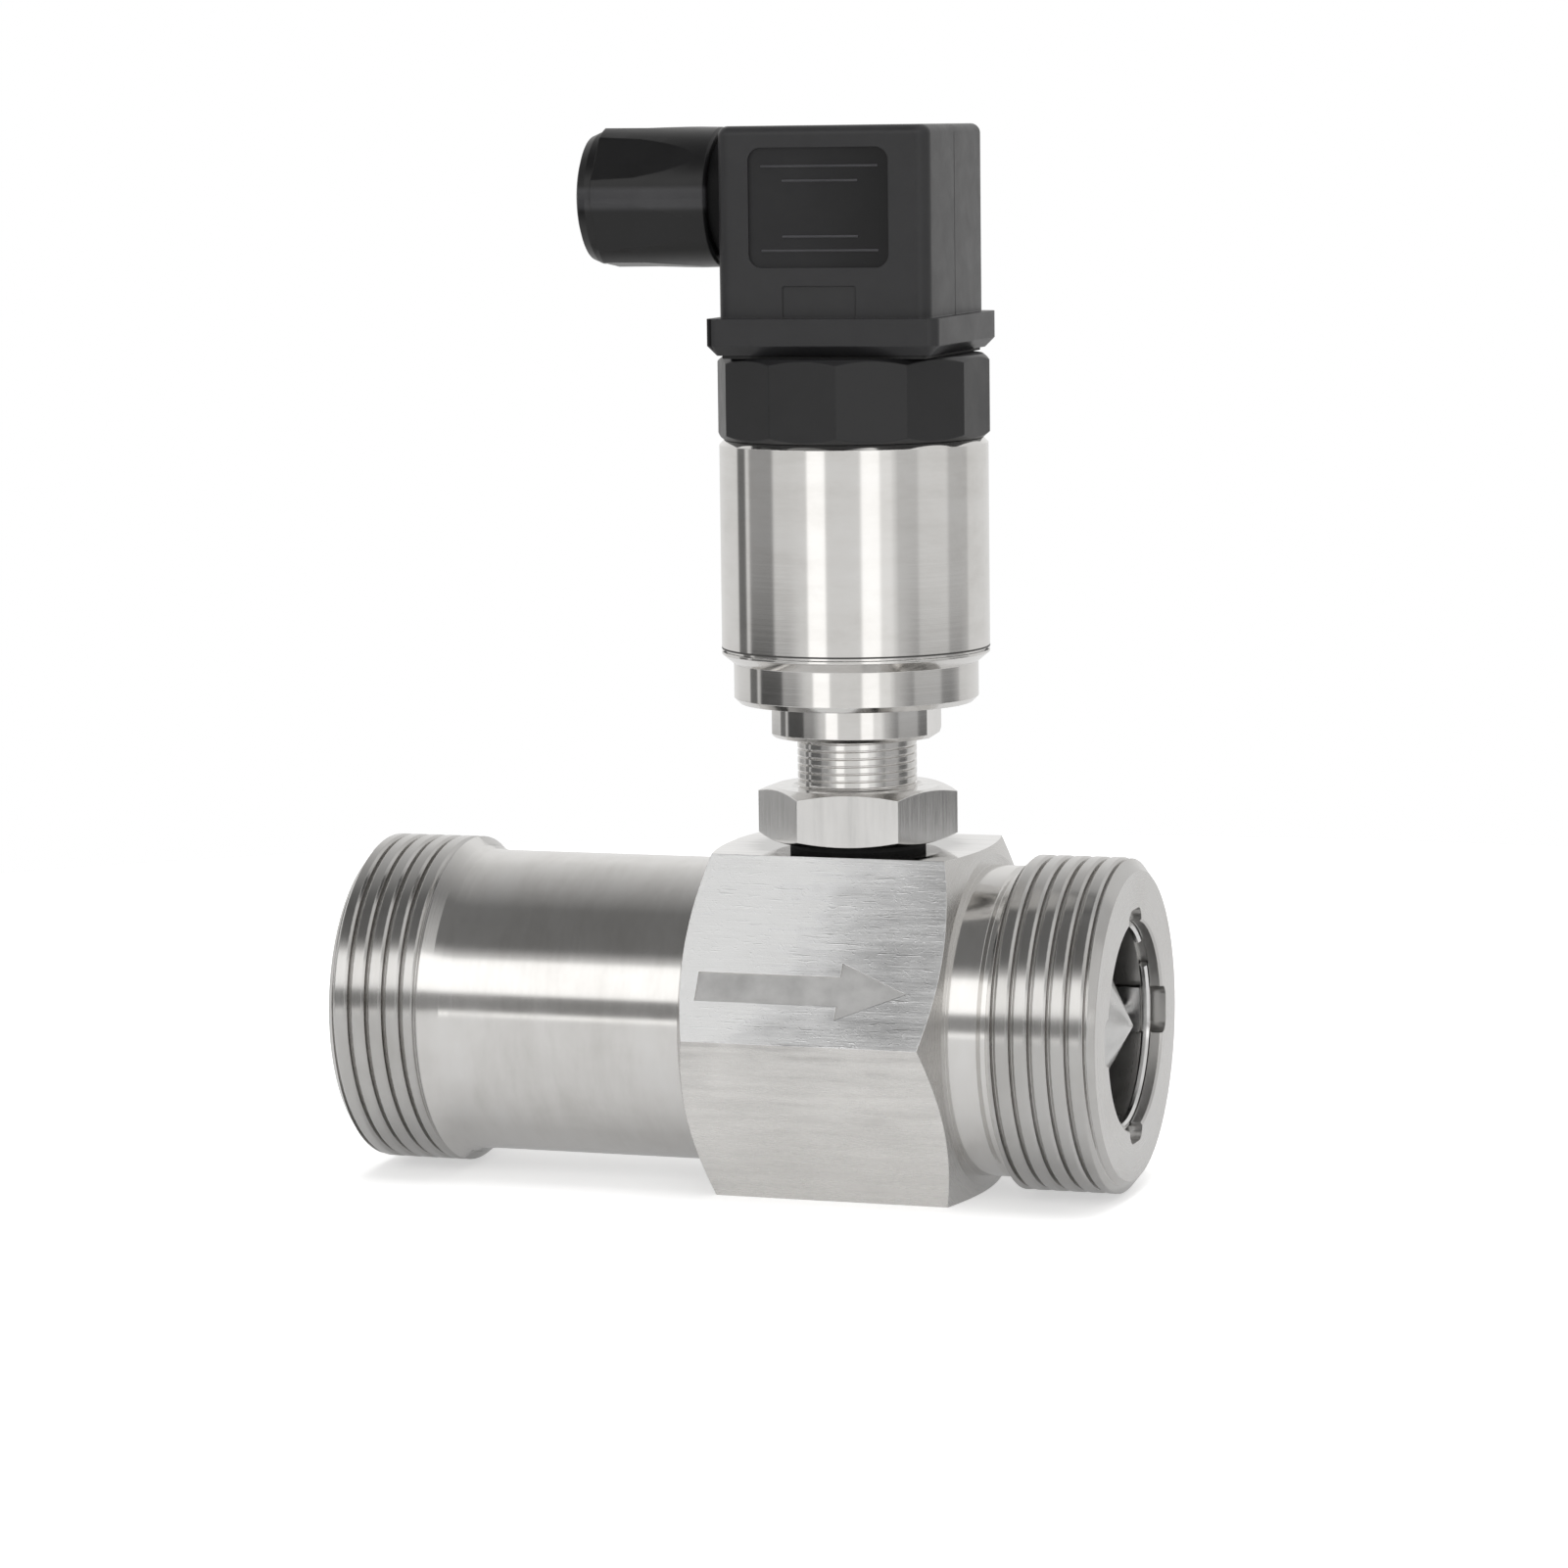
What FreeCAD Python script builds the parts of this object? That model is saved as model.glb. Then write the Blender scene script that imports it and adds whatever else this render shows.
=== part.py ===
import FreeCAD, Part
import math
import os

# Turbine flow meter with a screwed-in magnetic pickup and a square cable plug, in millimetres.
# The pipe axis is X, the flow runs towards +X, and the pickup stands up along +Z.
# The sizes below are measured from the inlet end face, on the pipe axis. Each piece is moved as it
# is saved, so that the origin is on the hexagon's lowest flat, straight under the pickup.

# Pipe body
body_length = 100.0
pipe_thread_radius = 20.8
inlet_thread_length = 12.6
inlet_shoulder_length = 3.6
tube_radius = 19.15
hex_length = 34.0
hex_across_flats = 43.0
hex_chamfer_angle = 25.0
hex_face_disc_radius = 20.7
outlet_neck_radius = 19.35
outlet_neck_length = 3.9
thread_relief_radius = 18.9
thread_relief_width = 2.0
outlet_thread_length = 12.9
thread_end_chamfer = 1.3
thread_end_drop = 1.6
chamber_radius = 12.5
seat_radius = 13.0
seat_length = 22.0
mouth_chamfer = 0.25

# Keyways, guide feet and retaining rings, the same at both ends
keyway_width = 5.9
keyway_radius = 14.6
keyway_corner = 1.6
vane_count = 4
ring_inset = 2.1
ring_wire = 1.1
ring_gap_angle = 20.0
ring_gap_turn = 37.0

# Flow arrow on the upper front flat of the hexagon
arrow_depth = 0.25
arrow_start = 2.8
arrow_shaft_length = 18.3
arrow_shaft_width = 3.8
arrow_head_length = 8.6
arrow_head_width = 7.4
arrow_drop = 5.1

# Flow guides
hub_radius = 6.2
hub_cone_angle = 120.0
hub_tip_inset = 0.35
vane_thickness = 1.6
foot_width = 5.6

# Rotor
rotor_length = 10.0
rotor_hub_radius = 6.0
rotor_hub_chamfer = 0.6
blade_count = 6
blade_tip_gap = 0.4
blade_width = 2.2
blade_tip_angle = 42.0
rotor_end_gap = 0.7
shaft_radius = 1.0
shaft_clearance = 0.05
bush_radius = 2.5
bush_length = 5.0
bush_stand_out = 0.3
pad_radius = 2.0
pad_thickness = 1.5
shaft_end_gap = 0.1

# Pickup neck, collars and housing
pocket_wall = 1.4
pocket_end_gap = 0.3
neck_radius = 7.45
thread_clearance = 0.05
neck_gasket_radius = 8.5
neck_gasket_thickness = 0.8
lock_nut_height = 6.8
lock_nut_across_flats = 21.7
lock_nut_turn = 11.0
lock_nut_chamfer_angle = 20.0
lock_nut_face_inset = 0.5
lock_nut_countersink = 0.7
neck_exposed_length = 6.3
wrench_collar_radius = 11.0
wrench_collar_height = 4.2
wrench_flat_width = 19.6
wrench_flat_turn = 7.0
wrench_collar_chamfer = 0.5
mid_collar_radius = 15.25
mid_collar_height = 5.0
mid_collar_round = 0.7
rim_chamfer = 1.2
rim_height = 0.3
rim_groove_width = 0.45
rim_groove_depth = 0.5
housing_radius = 16.7
housing_height = 25.8
housing_wall = 1.7
housing_top_chamfer = 0.6
spigot_length = 3.0
collar_floor = 1.9
collar_wall = 2.7

# Coil, magnet and board inside the pickup
stem_bore_radius = 5.5
stem_bottom_wall = 0.8
pole_radius = 1.6
coil_length = 14.0
bobbin_wall = 0.6
bobbin_flange = 1.0
coil_radius = 5.0
magnet_radius = 4.5
magnet_height = 6.0
board_width = 23.0
board_height = 24.0
board_thickness = 1.6
board_slot_depth = 0.8
board_margin = 2.0
chip_width = 8.0
chip_height = 5.0
chip_depth = 1.6
trimmer_width = 4.5
trimmer_height = 4.0
trimmer_depth = 3.2
strip_width = 10.0
strip_height = 4.0
strip_depth = 4.0
capacitor_radius = 2.5
capacitor_length = 6.0

# Twelve-sided connector base
base_inset = 0.3
base_height = 10.3
base_sides = 12
base_turn = -4.4
base_edge_chamfer = 0.3
base_spigot_length = 6.0
base_spigot_wall = 2.0
base_floor = 7.5
base_seal_wire = 1.6
pin_offset = 9.0
pin_width = 6.3
pin_thickness = 0.8
pin_rise = 8.5
pin_root = 9.0

# Cable plug, turned a little on the pickup as it was fitted
plug_turn = 2.0
flange_half = 14.7
flange_height = 4.5
flange_corner = 1.6
flange_under_chamfer = 1.2
flange_gap = 0.4
plug_half = 13.4
plug_height = 23.3
plug_corner = 1.8
plug_top_round = 1.2
plug_wall = 1.7
plug_roof = 2.2
gasket_half = 12.9
gasket_opening_half = 10.2
gasket_thickness = 1.4
panel_width = 17.6
panel_height = 14.5
panel_corner = 1.6
panel_depth = 0.4
panel_drop = 2.65
panel_shift = -0.4
label_width = 9.2
label_height = 3.9
label_depth = 0.2
insert_height = 12.0
slip_gap = 0.1
contact_width = 7.4
contact_thickness = 2.4
contact_height = 9.0
terminal_screw_radius = 1.5
terminal_screw_height = 2.5
screw_radius = 1.45
screw_head_radius = 2.9
screw_head_height = 2.2
screw_head_inset = 0.4
screw_engagement = 5.5
screw_seal_thickness = 0.6
screw_boss_radius = 3.6
driver_slot_width = 0.8
driver_slot_depth = 1.0

# Cable gland on the side of the plug
gland_drop = 8.7
gland_neck_radius = 7.5
gland_neck_length = 12.8
gland_bore_radius = 5.9
gland_nut_gap = 2.85
gland_nut_length = 17.25
gland_nut_radius = 8.65
gland_nut_flare = 0.3
gland_flat_distance = 8.35
gland_flat_straight = 5.4
gland_flat_fade_angle = 2.6
gland_flat_turn = -54.0
gland_end_ring_length = 2.5
gland_end_ring_radius = 8.2
gland_end_round = 1.5
cable_hole_radius = 5.0
grommet_length = 8.0
grommet_hole_radius = 4.0
washer_thickness = 1.0
washer_hole_gap = 0.4

X = FreeCAD.Vector(1, 0, 0)
Z = FreeCAD.Vector(0, 0, 1)
ORIGIN = FreeCAD.Vector(0, 0, 0)

# Places worked out from the sizes above
hex_start = (body_length - outlet_thread_length - thread_relief_width - outlet_neck_length
             - hex_length)
pickup_x = hex_start + hex_length / 2
body_top = hex_across_flats / 2
nut_bottom = body_top + neck_gasket_thickness
nut_top = nut_bottom + lock_nut_height
wrench_bottom = nut_top + neck_exposed_length
mid_bottom = wrench_bottom + wrench_collar_height
mid_top = mid_bottom + mid_collar_height
rim_bottom = mid_top + rim_chamfer
rim_top = rim_bottom + rim_height
housing_bottom = rim_top + rim_groove_width
housing_top = housing_bottom + housing_height
base_bottom = housing_top + 0.05
base_top = base_bottom + base_height
base_across_flats = 2 * (housing_radius - base_inset)
flange_bottom = base_top + flange_gap
flange_top = flange_bottom + flange_height
plug_top = flange_top + plug_height
gland_z = plug_top - gland_drop
pocket_bottom = chamber_radius + pocket_wall
stem_bottom = pocket_bottom + pocket_end_gap
rotor_start = pickup_x - rotor_length / 2
rotor_end = pickup_x + rotor_length / 2
blade_tip_radius = chamber_radius - blade_tip_gap


def vec(x, y, z):
    return FreeCAD.Vector(x, y, z)


def revolve(points, axis):
    """Solid of revolution about X or Z from (along, radius) points."""
    if axis == "X":
        corners = [vec(along, radius, 0) for along, radius in points]
        direction = X
    else:
        corners = [vec(radius, 0, along) for along, radius in points]
        direction = Z
    wire = Part.makePolygon(corners + corners[:1])
    return Part.Face(wire).revolve(ORIGIN, direction, 360)


def cylinder_x(start, end, radius):
    return Part.makeCylinder(radius, end - start, vec(start, 0, 0), X)


def cylinder_z(bottom, top, radius):
    return Part.makeCylinder(radius, top - bottom, vec(0, 0, bottom), Z)


def box(x0, x1, y0, y1, z0, z1):
    return Part.makeBox(x1 - x0, y1 - y0, z1 - z0, vec(x0, y0, z0))


def square(half, bottom, top, corner=0.0):
    """Upright square block about the Z axis, with rounded vertical edges."""
    block = box(-half, half, -half, half, bottom, top)
    if corner:
        block = block.makeFillet(corner, upright_edges(block))
    return block


def upright_edges(shape):
    """Straight edges that run parallel to Z."""
    found = []
    for edge in shape.Edges:
        ends = [vertex.Point for vertex in edge.Vertexes]
        if len(ends) == 2 and abs(ends[0].x - ends[1].x) + abs(ends[0].y - ends[1].y) < 1e-6:
            found.append(edge)
    return found


def edges_at_height(shape, height):
    """Edges that lie wholly in one level plane."""
    return [edge for edge in shape.Edges
            if abs(edge.BoundBox.ZMin - height) < 1e-4 and abs(edge.BoundBox.ZMax - height) < 1e-4]


def prism(sides, across_flats, start, end, axis, turn=0.0):
    """Regular prism along X or Z, with one flat square to +Z or to -Y before the turn."""
    corner_radius = across_flats / 2 / math.cos(math.pi / sides)
    corners = []
    for index in range(sides):
        angle = math.radians(turn) + (index + 0.5) * 2 * math.pi / sides - math.pi / 2
        across = corner_radius * math.cos(angle)
        up = corner_radius * math.sin(angle)
        corners.append(vec(start, across, up) if axis == "X" else vec(across, up, start))
    face = Part.Face(Part.makePolygon(corners + corners[:1]))
    return face.extrude((X if axis == "X" else Z) * (end - start))


def cone_limits(start, end, disc_radius, corner_radius, angle, axis):
    """Double-coned blank that chamfers the corners of a prism at both ends."""
    reach = corner_radius + 1
    drop = (reach - disc_radius) * math.tan(math.radians(angle))
    return revolve([(start, 0), (start, disc_radius), (start + drop, reach),
                    (end - drop, reach), (end, disc_radius), (end, 0)], axis)


def spread_x(shape, count, first=0.0):
    """Copies of a shape, spaced evenly round the X axis."""
    copies = []
    for index in range(count):
        copy = shape.copy()
        copy.rotate(ORIGIN, X, first + index * 360 / count)
        copies.append(copy)
    return copies


def at_pickup(shape):
    """Move a shape modelled on the Z axis to the pickup's axis."""
    shape = shape.copy()
    shape.translate(vec(pickup_x, 0, 0))
    return shape


def at_plug(shape):
    """Turn a plug piece to its fitted angle and move it to the pickup's axis."""
    shape = shape.copy()
    shape.rotate(ORIGIN, Z, plug_turn)
    return at_pickup(shape)


def save(name, shape):
    """Write one node, moved from the inlet end to the row's origin."""
    shape = shape.copy()
    shape.translate(vec(-pickup_x, 0, hex_across_flats / 2))
    shape.exportStep("parts/" + name + ".step")


def outlet_side(shape):
    """Mirror an end fitting from the inlet to the outlet."""
    return shape.mirror(vec(body_length / 2, 0, 0), X)


# Pipe body

def body_outside():
    shoulder = []
    for along, share in ((0, 1), (0.36, 0.36), (0.64, 0.09), (1, 0)):
        shoulder.append((inlet_thread_length + along * inlet_shoulder_length,
                         tube_radius + share * (pipe_thread_radius - tube_radius)))
    outlet_thread_start = body_length - outlet_thread_length
    hex_end = hex_start + hex_length
    neck_end = hex_end + outlet_neck_length
    overlap = 2.0
    inlet = revolve([(0, 0), (0, pipe_thread_radius - thread_end_drop),
                     (thread_end_chamfer, pipe_thread_radius)] + shoulder
                    + [(hex_start + overlap, tube_radius), (hex_start + overlap, 0)], "X")
    outlet = revolve([(hex_end - overlap, 0), (hex_end - overlap, outlet_neck_radius),
                      (neck_end, outlet_neck_radius),
                      (neck_end + outlet_neck_radius - thread_relief_radius, thread_relief_radius),
                      (outlet_thread_start - (pipe_thread_radius - thread_relief_radius) / 2,
                       thread_relief_radius),
                      (outlet_thread_start, pipe_thread_radius),
                      (body_length - thread_end_chamfer, pipe_thread_radius),
                      (body_length, pipe_thread_radius - thread_end_drop), (body_length, 0)], "X")
    corner_radius = hex_across_flats / math.sqrt(3)
    hexagon = prism(6, hex_across_flats, hex_start, hex_end, "X", 0.0)
    blank = cone_limits(hex_start, hex_end, hex_face_disc_radius, corner_radius,
                        hex_chamfer_angle, "X")
    return hexagon.common(blank).fuse([inlet, outlet])


def keyway():
    """One keyway at the inlet, at the twelve o'clock place."""
    half = keyway_width / 2
    slot = box(-1, seat_length, -half, half, hub_radius, keyway_radius)
    corners = [edge for edge in slot.Edges
               if edge.BoundBox.XLength > 1 and edge.BoundBox.ZMin > keyway_radius - 0.01]
    return slot.makeFillet(keyway_corner, corners)


def end_cuts():
    """Seat bore, mouth chamfer, ring groove and keyways at the inlet end."""
    groove_radius = ring_centre_radius() + ring_wire / 2 + thread_clearance
    groove_half = ring_wire / 2 + thread_clearance
    cuts = [cylinder_x(-1, seat_length, seat_radius),
            Part.makeCone(seat_radius + mouth_chamfer, seat_radius, mouth_chamfer, ORIGIN, X),
            cylinder_x(ring_inset - groove_half, ring_inset + groove_half, groove_radius)]
    return cuts + spread_x(keyway(), vane_count)


def ring_centre_radius():
    """The wire ring stands half in its groove and half in the bore."""
    return seat_radius - 0.1


def flow_arrow():
    """Shallow arrow-shaped cutter, laid on the upper front flat of the hexagon."""
    start = hex_start + arrow_start
    neck = start + arrow_shaft_length
    tip = neck + arrow_head_length
    outline = [(start, arrow_shaft_width / 2), (neck, arrow_shaft_width / 2),
               (neck, arrow_head_width / 2), (tip, 0), (neck, -arrow_head_width / 2),
               (neck, -arrow_shaft_width / 2), (start, -arrow_shaft_width / 2)]
    floor = hex_across_flats / 2 - arrow_depth
    corners = [vec(x, across - arrow_drop, floor) for x, across in outline]
    cutter = Part.Face(Part.makePolygon(corners + corners[:1])).extrude(Z)
    cutter.rotate(ORIGIN, X, 60)
    return cutter


def meter_body():
    shape = body_outside()
    cuts = [cylinder_x(-1, body_length + 1, chamber_radius)]
    for cut in end_cuts():
        cuts += [cut, outlet_side(cut)]
    pocket = at_pickup(cylinder_z(pocket_bottom, body_top + 1, neck_radius + thread_clearance))
    cuts += [pocket, flow_arrow()]
    return shape.cut(cuts)


# Flow guides, rings and bearings

def flow_guide(hub_end):
    """Inlet guide: coned hub, vanes and feet, from the mouth to the given hub end."""
    tip = hub_tip_inset
    cone_length = hub_radius / math.tan(math.radians(hub_cone_angle / 2))
    face = tip + cone_length
    hub = revolve([(tip, 0), (face, hub_radius), (hub_end - 0.5, hub_radius),
                   (hub_end, hub_radius - 0.5), (hub_end, 0)], "X")
    foot_start = ring_inset + ring_wire / 2 + slip_gap
    vane_start = face
    vane_end = hub_end - 0.6
    half = vane_thickness / 2
    tip_radius = chamber_radius - slip_gap
    blade = box(vane_start, vane_end, -half, half, hub_radius - 1, seat_radius)
    ends = [edge for edge in blade.Edges if edge.BoundBox.ZLength > 1]
    blade = blade.makeFillet(half * 0.9, ends)
    reach = cylinder_x(0, vane_end + 1, tip_radius)
    reach = reach.fuse(cylinder_x(0, seat_length - slip_gap, seat_radius - slip_gap / 2))
    blade = blade.common(reach)
    foot = box(foot_start, seat_length - slip_gap, -foot_width / 2, foot_width / 2,
               0, keyway_radius - slip_gap)
    corners = [edge for edge in foot.Edges
               if edge.BoundBox.XLength > 1 and edge.BoundBox.ZMin > hub_radius]
    foot = foot.makeFillet(keyway_corner, corners)
    foot = foot.cut(cylinder_x(0, seat_length + 1, seat_radius - 1.0))
    pieces = spread_x(blade, vane_count) + spread_x(foot, vane_count)
    guide = hub.fuse(pieces).removeSplitter()
    bush_bottom = hub_end + bush_stand_out - bush_length
    guide = guide.cut([cylinder_x(bush_bottom, hub_end + 1, bush_radius),
                       cylinder_x(bush_bottom - shaft_end_gap - pad_thickness, hub_end,
                                  pad_radius)])
    return guide


def round_section(along, radius, wire, sides=8):
    """Corners of a ring's wire section, as (along, radius) points on its circle."""
    corners = []
    for index in range(sides):
        angle = 2 * math.pi * (index + 0.5) / sides
        corners.append((along + wire / 2 * math.cos(angle), radius + wire / 2 * math.sin(angle)))
    return corners


def retaining_ring():
    """Open ring of round wire."""
    section = round_section(ring_inset, ring_centre_radius(), ring_wire)
    corners = [vec(along, radius, 0) for along, radius in section]
    ring = Part.Face(Part.makePolygon(corners + corners[:1])).revolve(ORIGIN, X,
                                                                      360 - ring_gap_angle)
    ring.rotate(ORIGIN, X, ring_gap_turn + ring_gap_angle / 2)
    return ring


def bearing_bush(hub_end):
    end = hub_end + bush_stand_out
    ring = cylinder_x(end - bush_length, end, bush_radius)
    return ring.cut(cylinder_x(end - bush_length - 1, end + 1, shaft_radius + shaft_clearance))


def thrust_pad(hub_end):
    """Hard pad behind the bush, which the end of the shaft runs against."""
    end = hub_end + bush_stand_out - bush_length - shaft_end_gap
    return cylinder_x(end - pad_thickness, end, pad_radius)


# Rotor

def helical_blade():
    """One blade, lofted through sections that turn steadily along the axis."""
    sections = 5
    root = rotor_hub_radius - 1.5
    tip = blade_tip_radius + 1.0
    lead_turn = math.degrees(rotor_length * math.tan(math.radians(blade_tip_angle)) / blade_tip_radius)
    margin = rotor_hub_chamfer
    length = rotor_length - 2 * margin
    wires = []
    for index in range(sections):
        share = index / (sections - 1)
        half = blade_width / 2
        corners = [vec(0, -half, root), vec(0, half, root), vec(0, half, tip), vec(0, -half, tip)]
        wire = Part.makePolygon(corners + corners[:1])
        wire.rotate(ORIGIN, X, lead_turn * (share - 0.5))
        wire.translate(vec(rotor_start + margin + length * share, 0, 0))
        wires.append(wire)
    return Part.makeLoft(wires, True, False)


def rotor():
    margin = rotor_hub_chamfer
    hub = revolve([(rotor_start, 0), (rotor_start, rotor_hub_radius - margin),
                   (rotor_start + margin, rotor_hub_radius), (rotor_end - margin, rotor_hub_radius),
                   (rotor_end, rotor_hub_radius - margin), (rotor_end, 0)], "X")
    reach = cylinder_x(rotor_start, rotor_end, blade_tip_radius)
    blade = helical_blade().common(reach)
    wheel = hub.fuse(spread_x(blade, blade_count))
    return wheel.cut(cylinder_x(rotor_start - 1, rotor_end + 1, shaft_radius))


def rotor_shaft():
    reach = bush_length - bush_stand_out + rotor_end_gap
    ends = 0.3
    start = rotor_start - reach
    end = rotor_end + reach
    return revolve([(start, 0), (start, shaft_radius - ends), (start + ends, shaft_radius),
                    (end - ends, shaft_radius), (end, shaft_radius - ends), (end, 0)], "X")


# Pickup

def lock_nut():
    corner_radius = lock_nut_across_flats / math.sqrt(3)
    blank = prism(6, lock_nut_across_flats, nut_bottom, nut_top, "Z", lock_nut_turn)
    disc = lock_nut_across_flats / 2 - lock_nut_face_inset
    shape = blank.common(cone_limits(nut_bottom, nut_top, disc, corner_radius,
                                     lock_nut_chamfer_angle, "Z"))
    hole = neck_radius + thread_clearance
    sink = lock_nut_countersink
    bore = revolve([(nut_bottom - 1, 0), (nut_bottom - 1, hole + sink), (nut_bottom, hole + sink),
                    (nut_bottom + sink, hole), (nut_top - sink, hole), (nut_top, hole + sink),
                    (nut_top + 1, hole + sink), (nut_top + 1, 0)], "Z")
    return shape.cut(bore)


def neck_gasket():
    ring = cylinder_z(body_top, nut_bottom, neck_gasket_radius)
    return ring.cut(cylinder_z(body_top - 1, nut_bottom + 1, neck_radius + slip_gap))


def pickup_stem():
    housing_bore = housing_radius - housing_wall
    outside = revolve([
        (stem_bottom, 0), (stem_bottom, neck_radius - 0.6), (stem_bottom + 0.6, neck_radius),
        (wrench_bottom, neck_radius), (wrench_bottom, wrench_collar_radius - wrench_collar_chamfer),
        (wrench_bottom + wrench_collar_chamfer, wrench_collar_radius),
        (mid_bottom, wrench_collar_radius), (mid_bottom, mid_collar_radius - mid_collar_round),
        (mid_bottom + mid_collar_round, mid_collar_radius), (mid_top, mid_collar_radius),
        (rim_bottom, housing_radius), (rim_top, housing_radius),
        (rim_top, housing_radius - rim_groove_depth),
        (housing_bottom, housing_radius - rim_groove_depth), (housing_bottom, housing_bore),
        (housing_bottom + spigot_length, housing_bore), (housing_bottom + spigot_length, 0)], "Z")
    reach = 2 * wrench_collar_radius
    for side in (1, -1):
        flat = box(side * (wrench_flat_width / 2 + reach / 2) - reach / 2,
                   side * (wrench_flat_width / 2 + reach / 2) + reach / 2,
                   -reach, reach, wrench_bottom - 0.01, mid_bottom)
        flat.rotate(ORIGIN, Z, wrench_flat_turn)
        flat = flat.cut(cylinder_z(wrench_bottom - 1, mid_bottom + 1, neck_radius))
        outside = outside.cut(flat)
    floor = mid_bottom + collar_floor
    inside = [cylinder_z(stem_bottom + stem_bottom_wall, floor + 1, stem_bore_radius),
              cylinder_z(stem_bottom - 1, floor, pole_radius),
              cylinder_z(floor, housing_bottom + spigot_length + 1,
                         mid_collar_radius - collar_wall)]
    slot_half = board_thickness / 2 + slip_gap / 2
    inside.append(box(-board_width / 2 - slip_gap, board_width / 2 + slip_gap, -slot_half,
                      slot_half, floor - board_slot_depth, floor + 1))
    return outside.cut(inside)


def pickup_housing():
    inner = housing_radius - housing_wall
    chamfer = housing_top_chamfer
    return revolve([(housing_bottom, inner), (housing_bottom, housing_radius),
                    (housing_top - chamfer, housing_radius),
                    (housing_top, housing_radius - chamfer), (housing_top, inner)], "Z")


def coil_bottom():
    return stem_bottom + stem_bottom_wall


def coil_bobbin():
    bottom = coil_bottom()
    top = bottom + coil_length
    core = pole_radius + bobbin_wall
    flange = stem_bore_radius - slip_gap
    spool = revolve([(bottom, 0), (bottom, flange), (bottom + bobbin_flange, flange),
                     (bottom + bobbin_flange, core), (top - bobbin_flange, core),
                     (top - bobbin_flange, flange), (top, flange), (top, 0)], "Z")
    return spool.cut(cylinder_z(bottom - 1, top + 1, pole_radius))


def pickup_coil():
    bottom = coil_bottom() + bobbin_flange
    top = coil_bottom() + coil_length - bobbin_flange
    winding = cylinder_z(bottom, top, coil_radius)
    return winding.cut(cylinder_z(bottom - 1, top + 1, pole_radius + bobbin_wall))


def pole_piece():
    return cylinder_z(stem_bottom, coil_bottom() + coil_length, pole_radius)


def bias_magnet():
    bottom = coil_bottom() + coil_length
    return cylinder_z(bottom, bottom + magnet_height, magnet_radius)


def board_bottom():
    return mid_bottom + collar_floor - board_slot_depth


def amplifier_board():
    bottom = board_bottom()
    half = board_thickness / 2
    board = box(-board_width / 2, board_width / 2, -half, half, bottom, bottom + board_height)
    return board.cut(box(-magnet_radius - 1, magnet_radius + 1, -1, 1, bottom - 1, bottom + 3))


def board_components():
    """Parts on both faces of the board: a chip, two capacitors, a trimmer and a terminal strip."""
    face = board_thickness / 2
    middle = board_bottom() + board_height / 2
    top = board_bottom() + board_height - board_margin
    side = board_width / 2 - board_margin
    pieces = [box(-chip_width / 2, chip_width / 2, -face - chip_depth, -face,
                  middle - chip_height / 2, middle + chip_height / 2),
              box(side - trimmer_width, side, -face - trimmer_depth, -face,
                  top - trimmer_height, top),
              box(-side, -side + strip_width, -face - strip_depth, -face, top - strip_height, top)]
    for place in (-board_width / 5, board_width / 5):
        pieces.append(Part.makeCylinder(capacitor_radius, capacitor_length,
                                        vec(place, face, middle), vec(0, 1, 0)))
    return Part.makeCompound(pieces)


def pin_places():
    """The four contact places, as turns round the plug's axis."""
    return [0, 90, 180, 270]


def connector_base():
    body = prism(base_sides, base_across_flats, base_bottom, base_top, "Z", base_turn)
    corner_radius = base_across_flats / 2 / math.cos(math.pi / base_sides)
    disc = base_across_flats / 2 - base_edge_chamfer
    body = body.common(cone_limits(base_bottom, base_top, disc, corner_radius, 40, "Z"))
    spigot_radius = housing_radius - housing_wall - slip_gap
    spigot = cylinder_z(base_bottom - base_spigot_length, base_bottom + 1, spigot_radius)
    body = body.fuse(spigot)
    seal_z = base_bottom - base_spigot_length / 2
    seal_room = base_seal_wire / 2
    groove = cylinder_z(seal_z - seal_room, seal_z + seal_room, spigot_radius + 1)
    groove = groove.cut(cylinder_z(seal_z - 2, seal_z + 2, spigot_radius - base_seal_wire + slip_gap))
    cuts = [groove, cylinder_z(base_bottom - base_spigot_length - 1, base_top - base_floor,
                               spigot_radius - base_seal_wire - base_spigot_wall),
            cylinder_z(base_top - screw_engagement - 0.5, base_top + 1,
                       screw_radius + thread_clearance)]
    for turn in pin_places():
        cuts.append(pin_slot(turn + plug_turn, 0.0))
    return body.cut(cuts)


def base_seal():
    seal_z = base_bottom - base_spigot_length / 2
    radius = housing_radius - housing_wall - base_seal_wire / 2
    return revolve(round_section(seal_z, radius, base_seal_wire), "Z")


def pin_slot(turn, spare):
    """A contact pin's own shape, or the hole for it with some room to spare."""
    half_width = pin_width / 2 + spare
    half = pin_thickness / 2 + spare
    pin = box(-half_width, half_width, -pin_offset - half, -pin_offset + half,
              base_top - pin_root, base_top + pin_rise + spare)
    pin.rotate(ORIGIN, Z, turn)
    return pin


def contact_pins():
    pins = []
    for turn in pin_places():
        pin = pin_slot(turn, 0.0)
        lead = [edge for edge in edges_at_height(pin, base_top + pin_rise)
                if edge.Length > pin_width - 0.1]
        pins.append(pin.makeChamfer(pin_thickness * 0.3, lead))
    return Part.makeCompound(pins)


# Cable plug, modelled square to the axes and turned when it is placed

def insert_bottom():
    return base_top + gasket_thickness + slip_gap


def cavity_half():
    return plug_half - plug_wall


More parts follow.
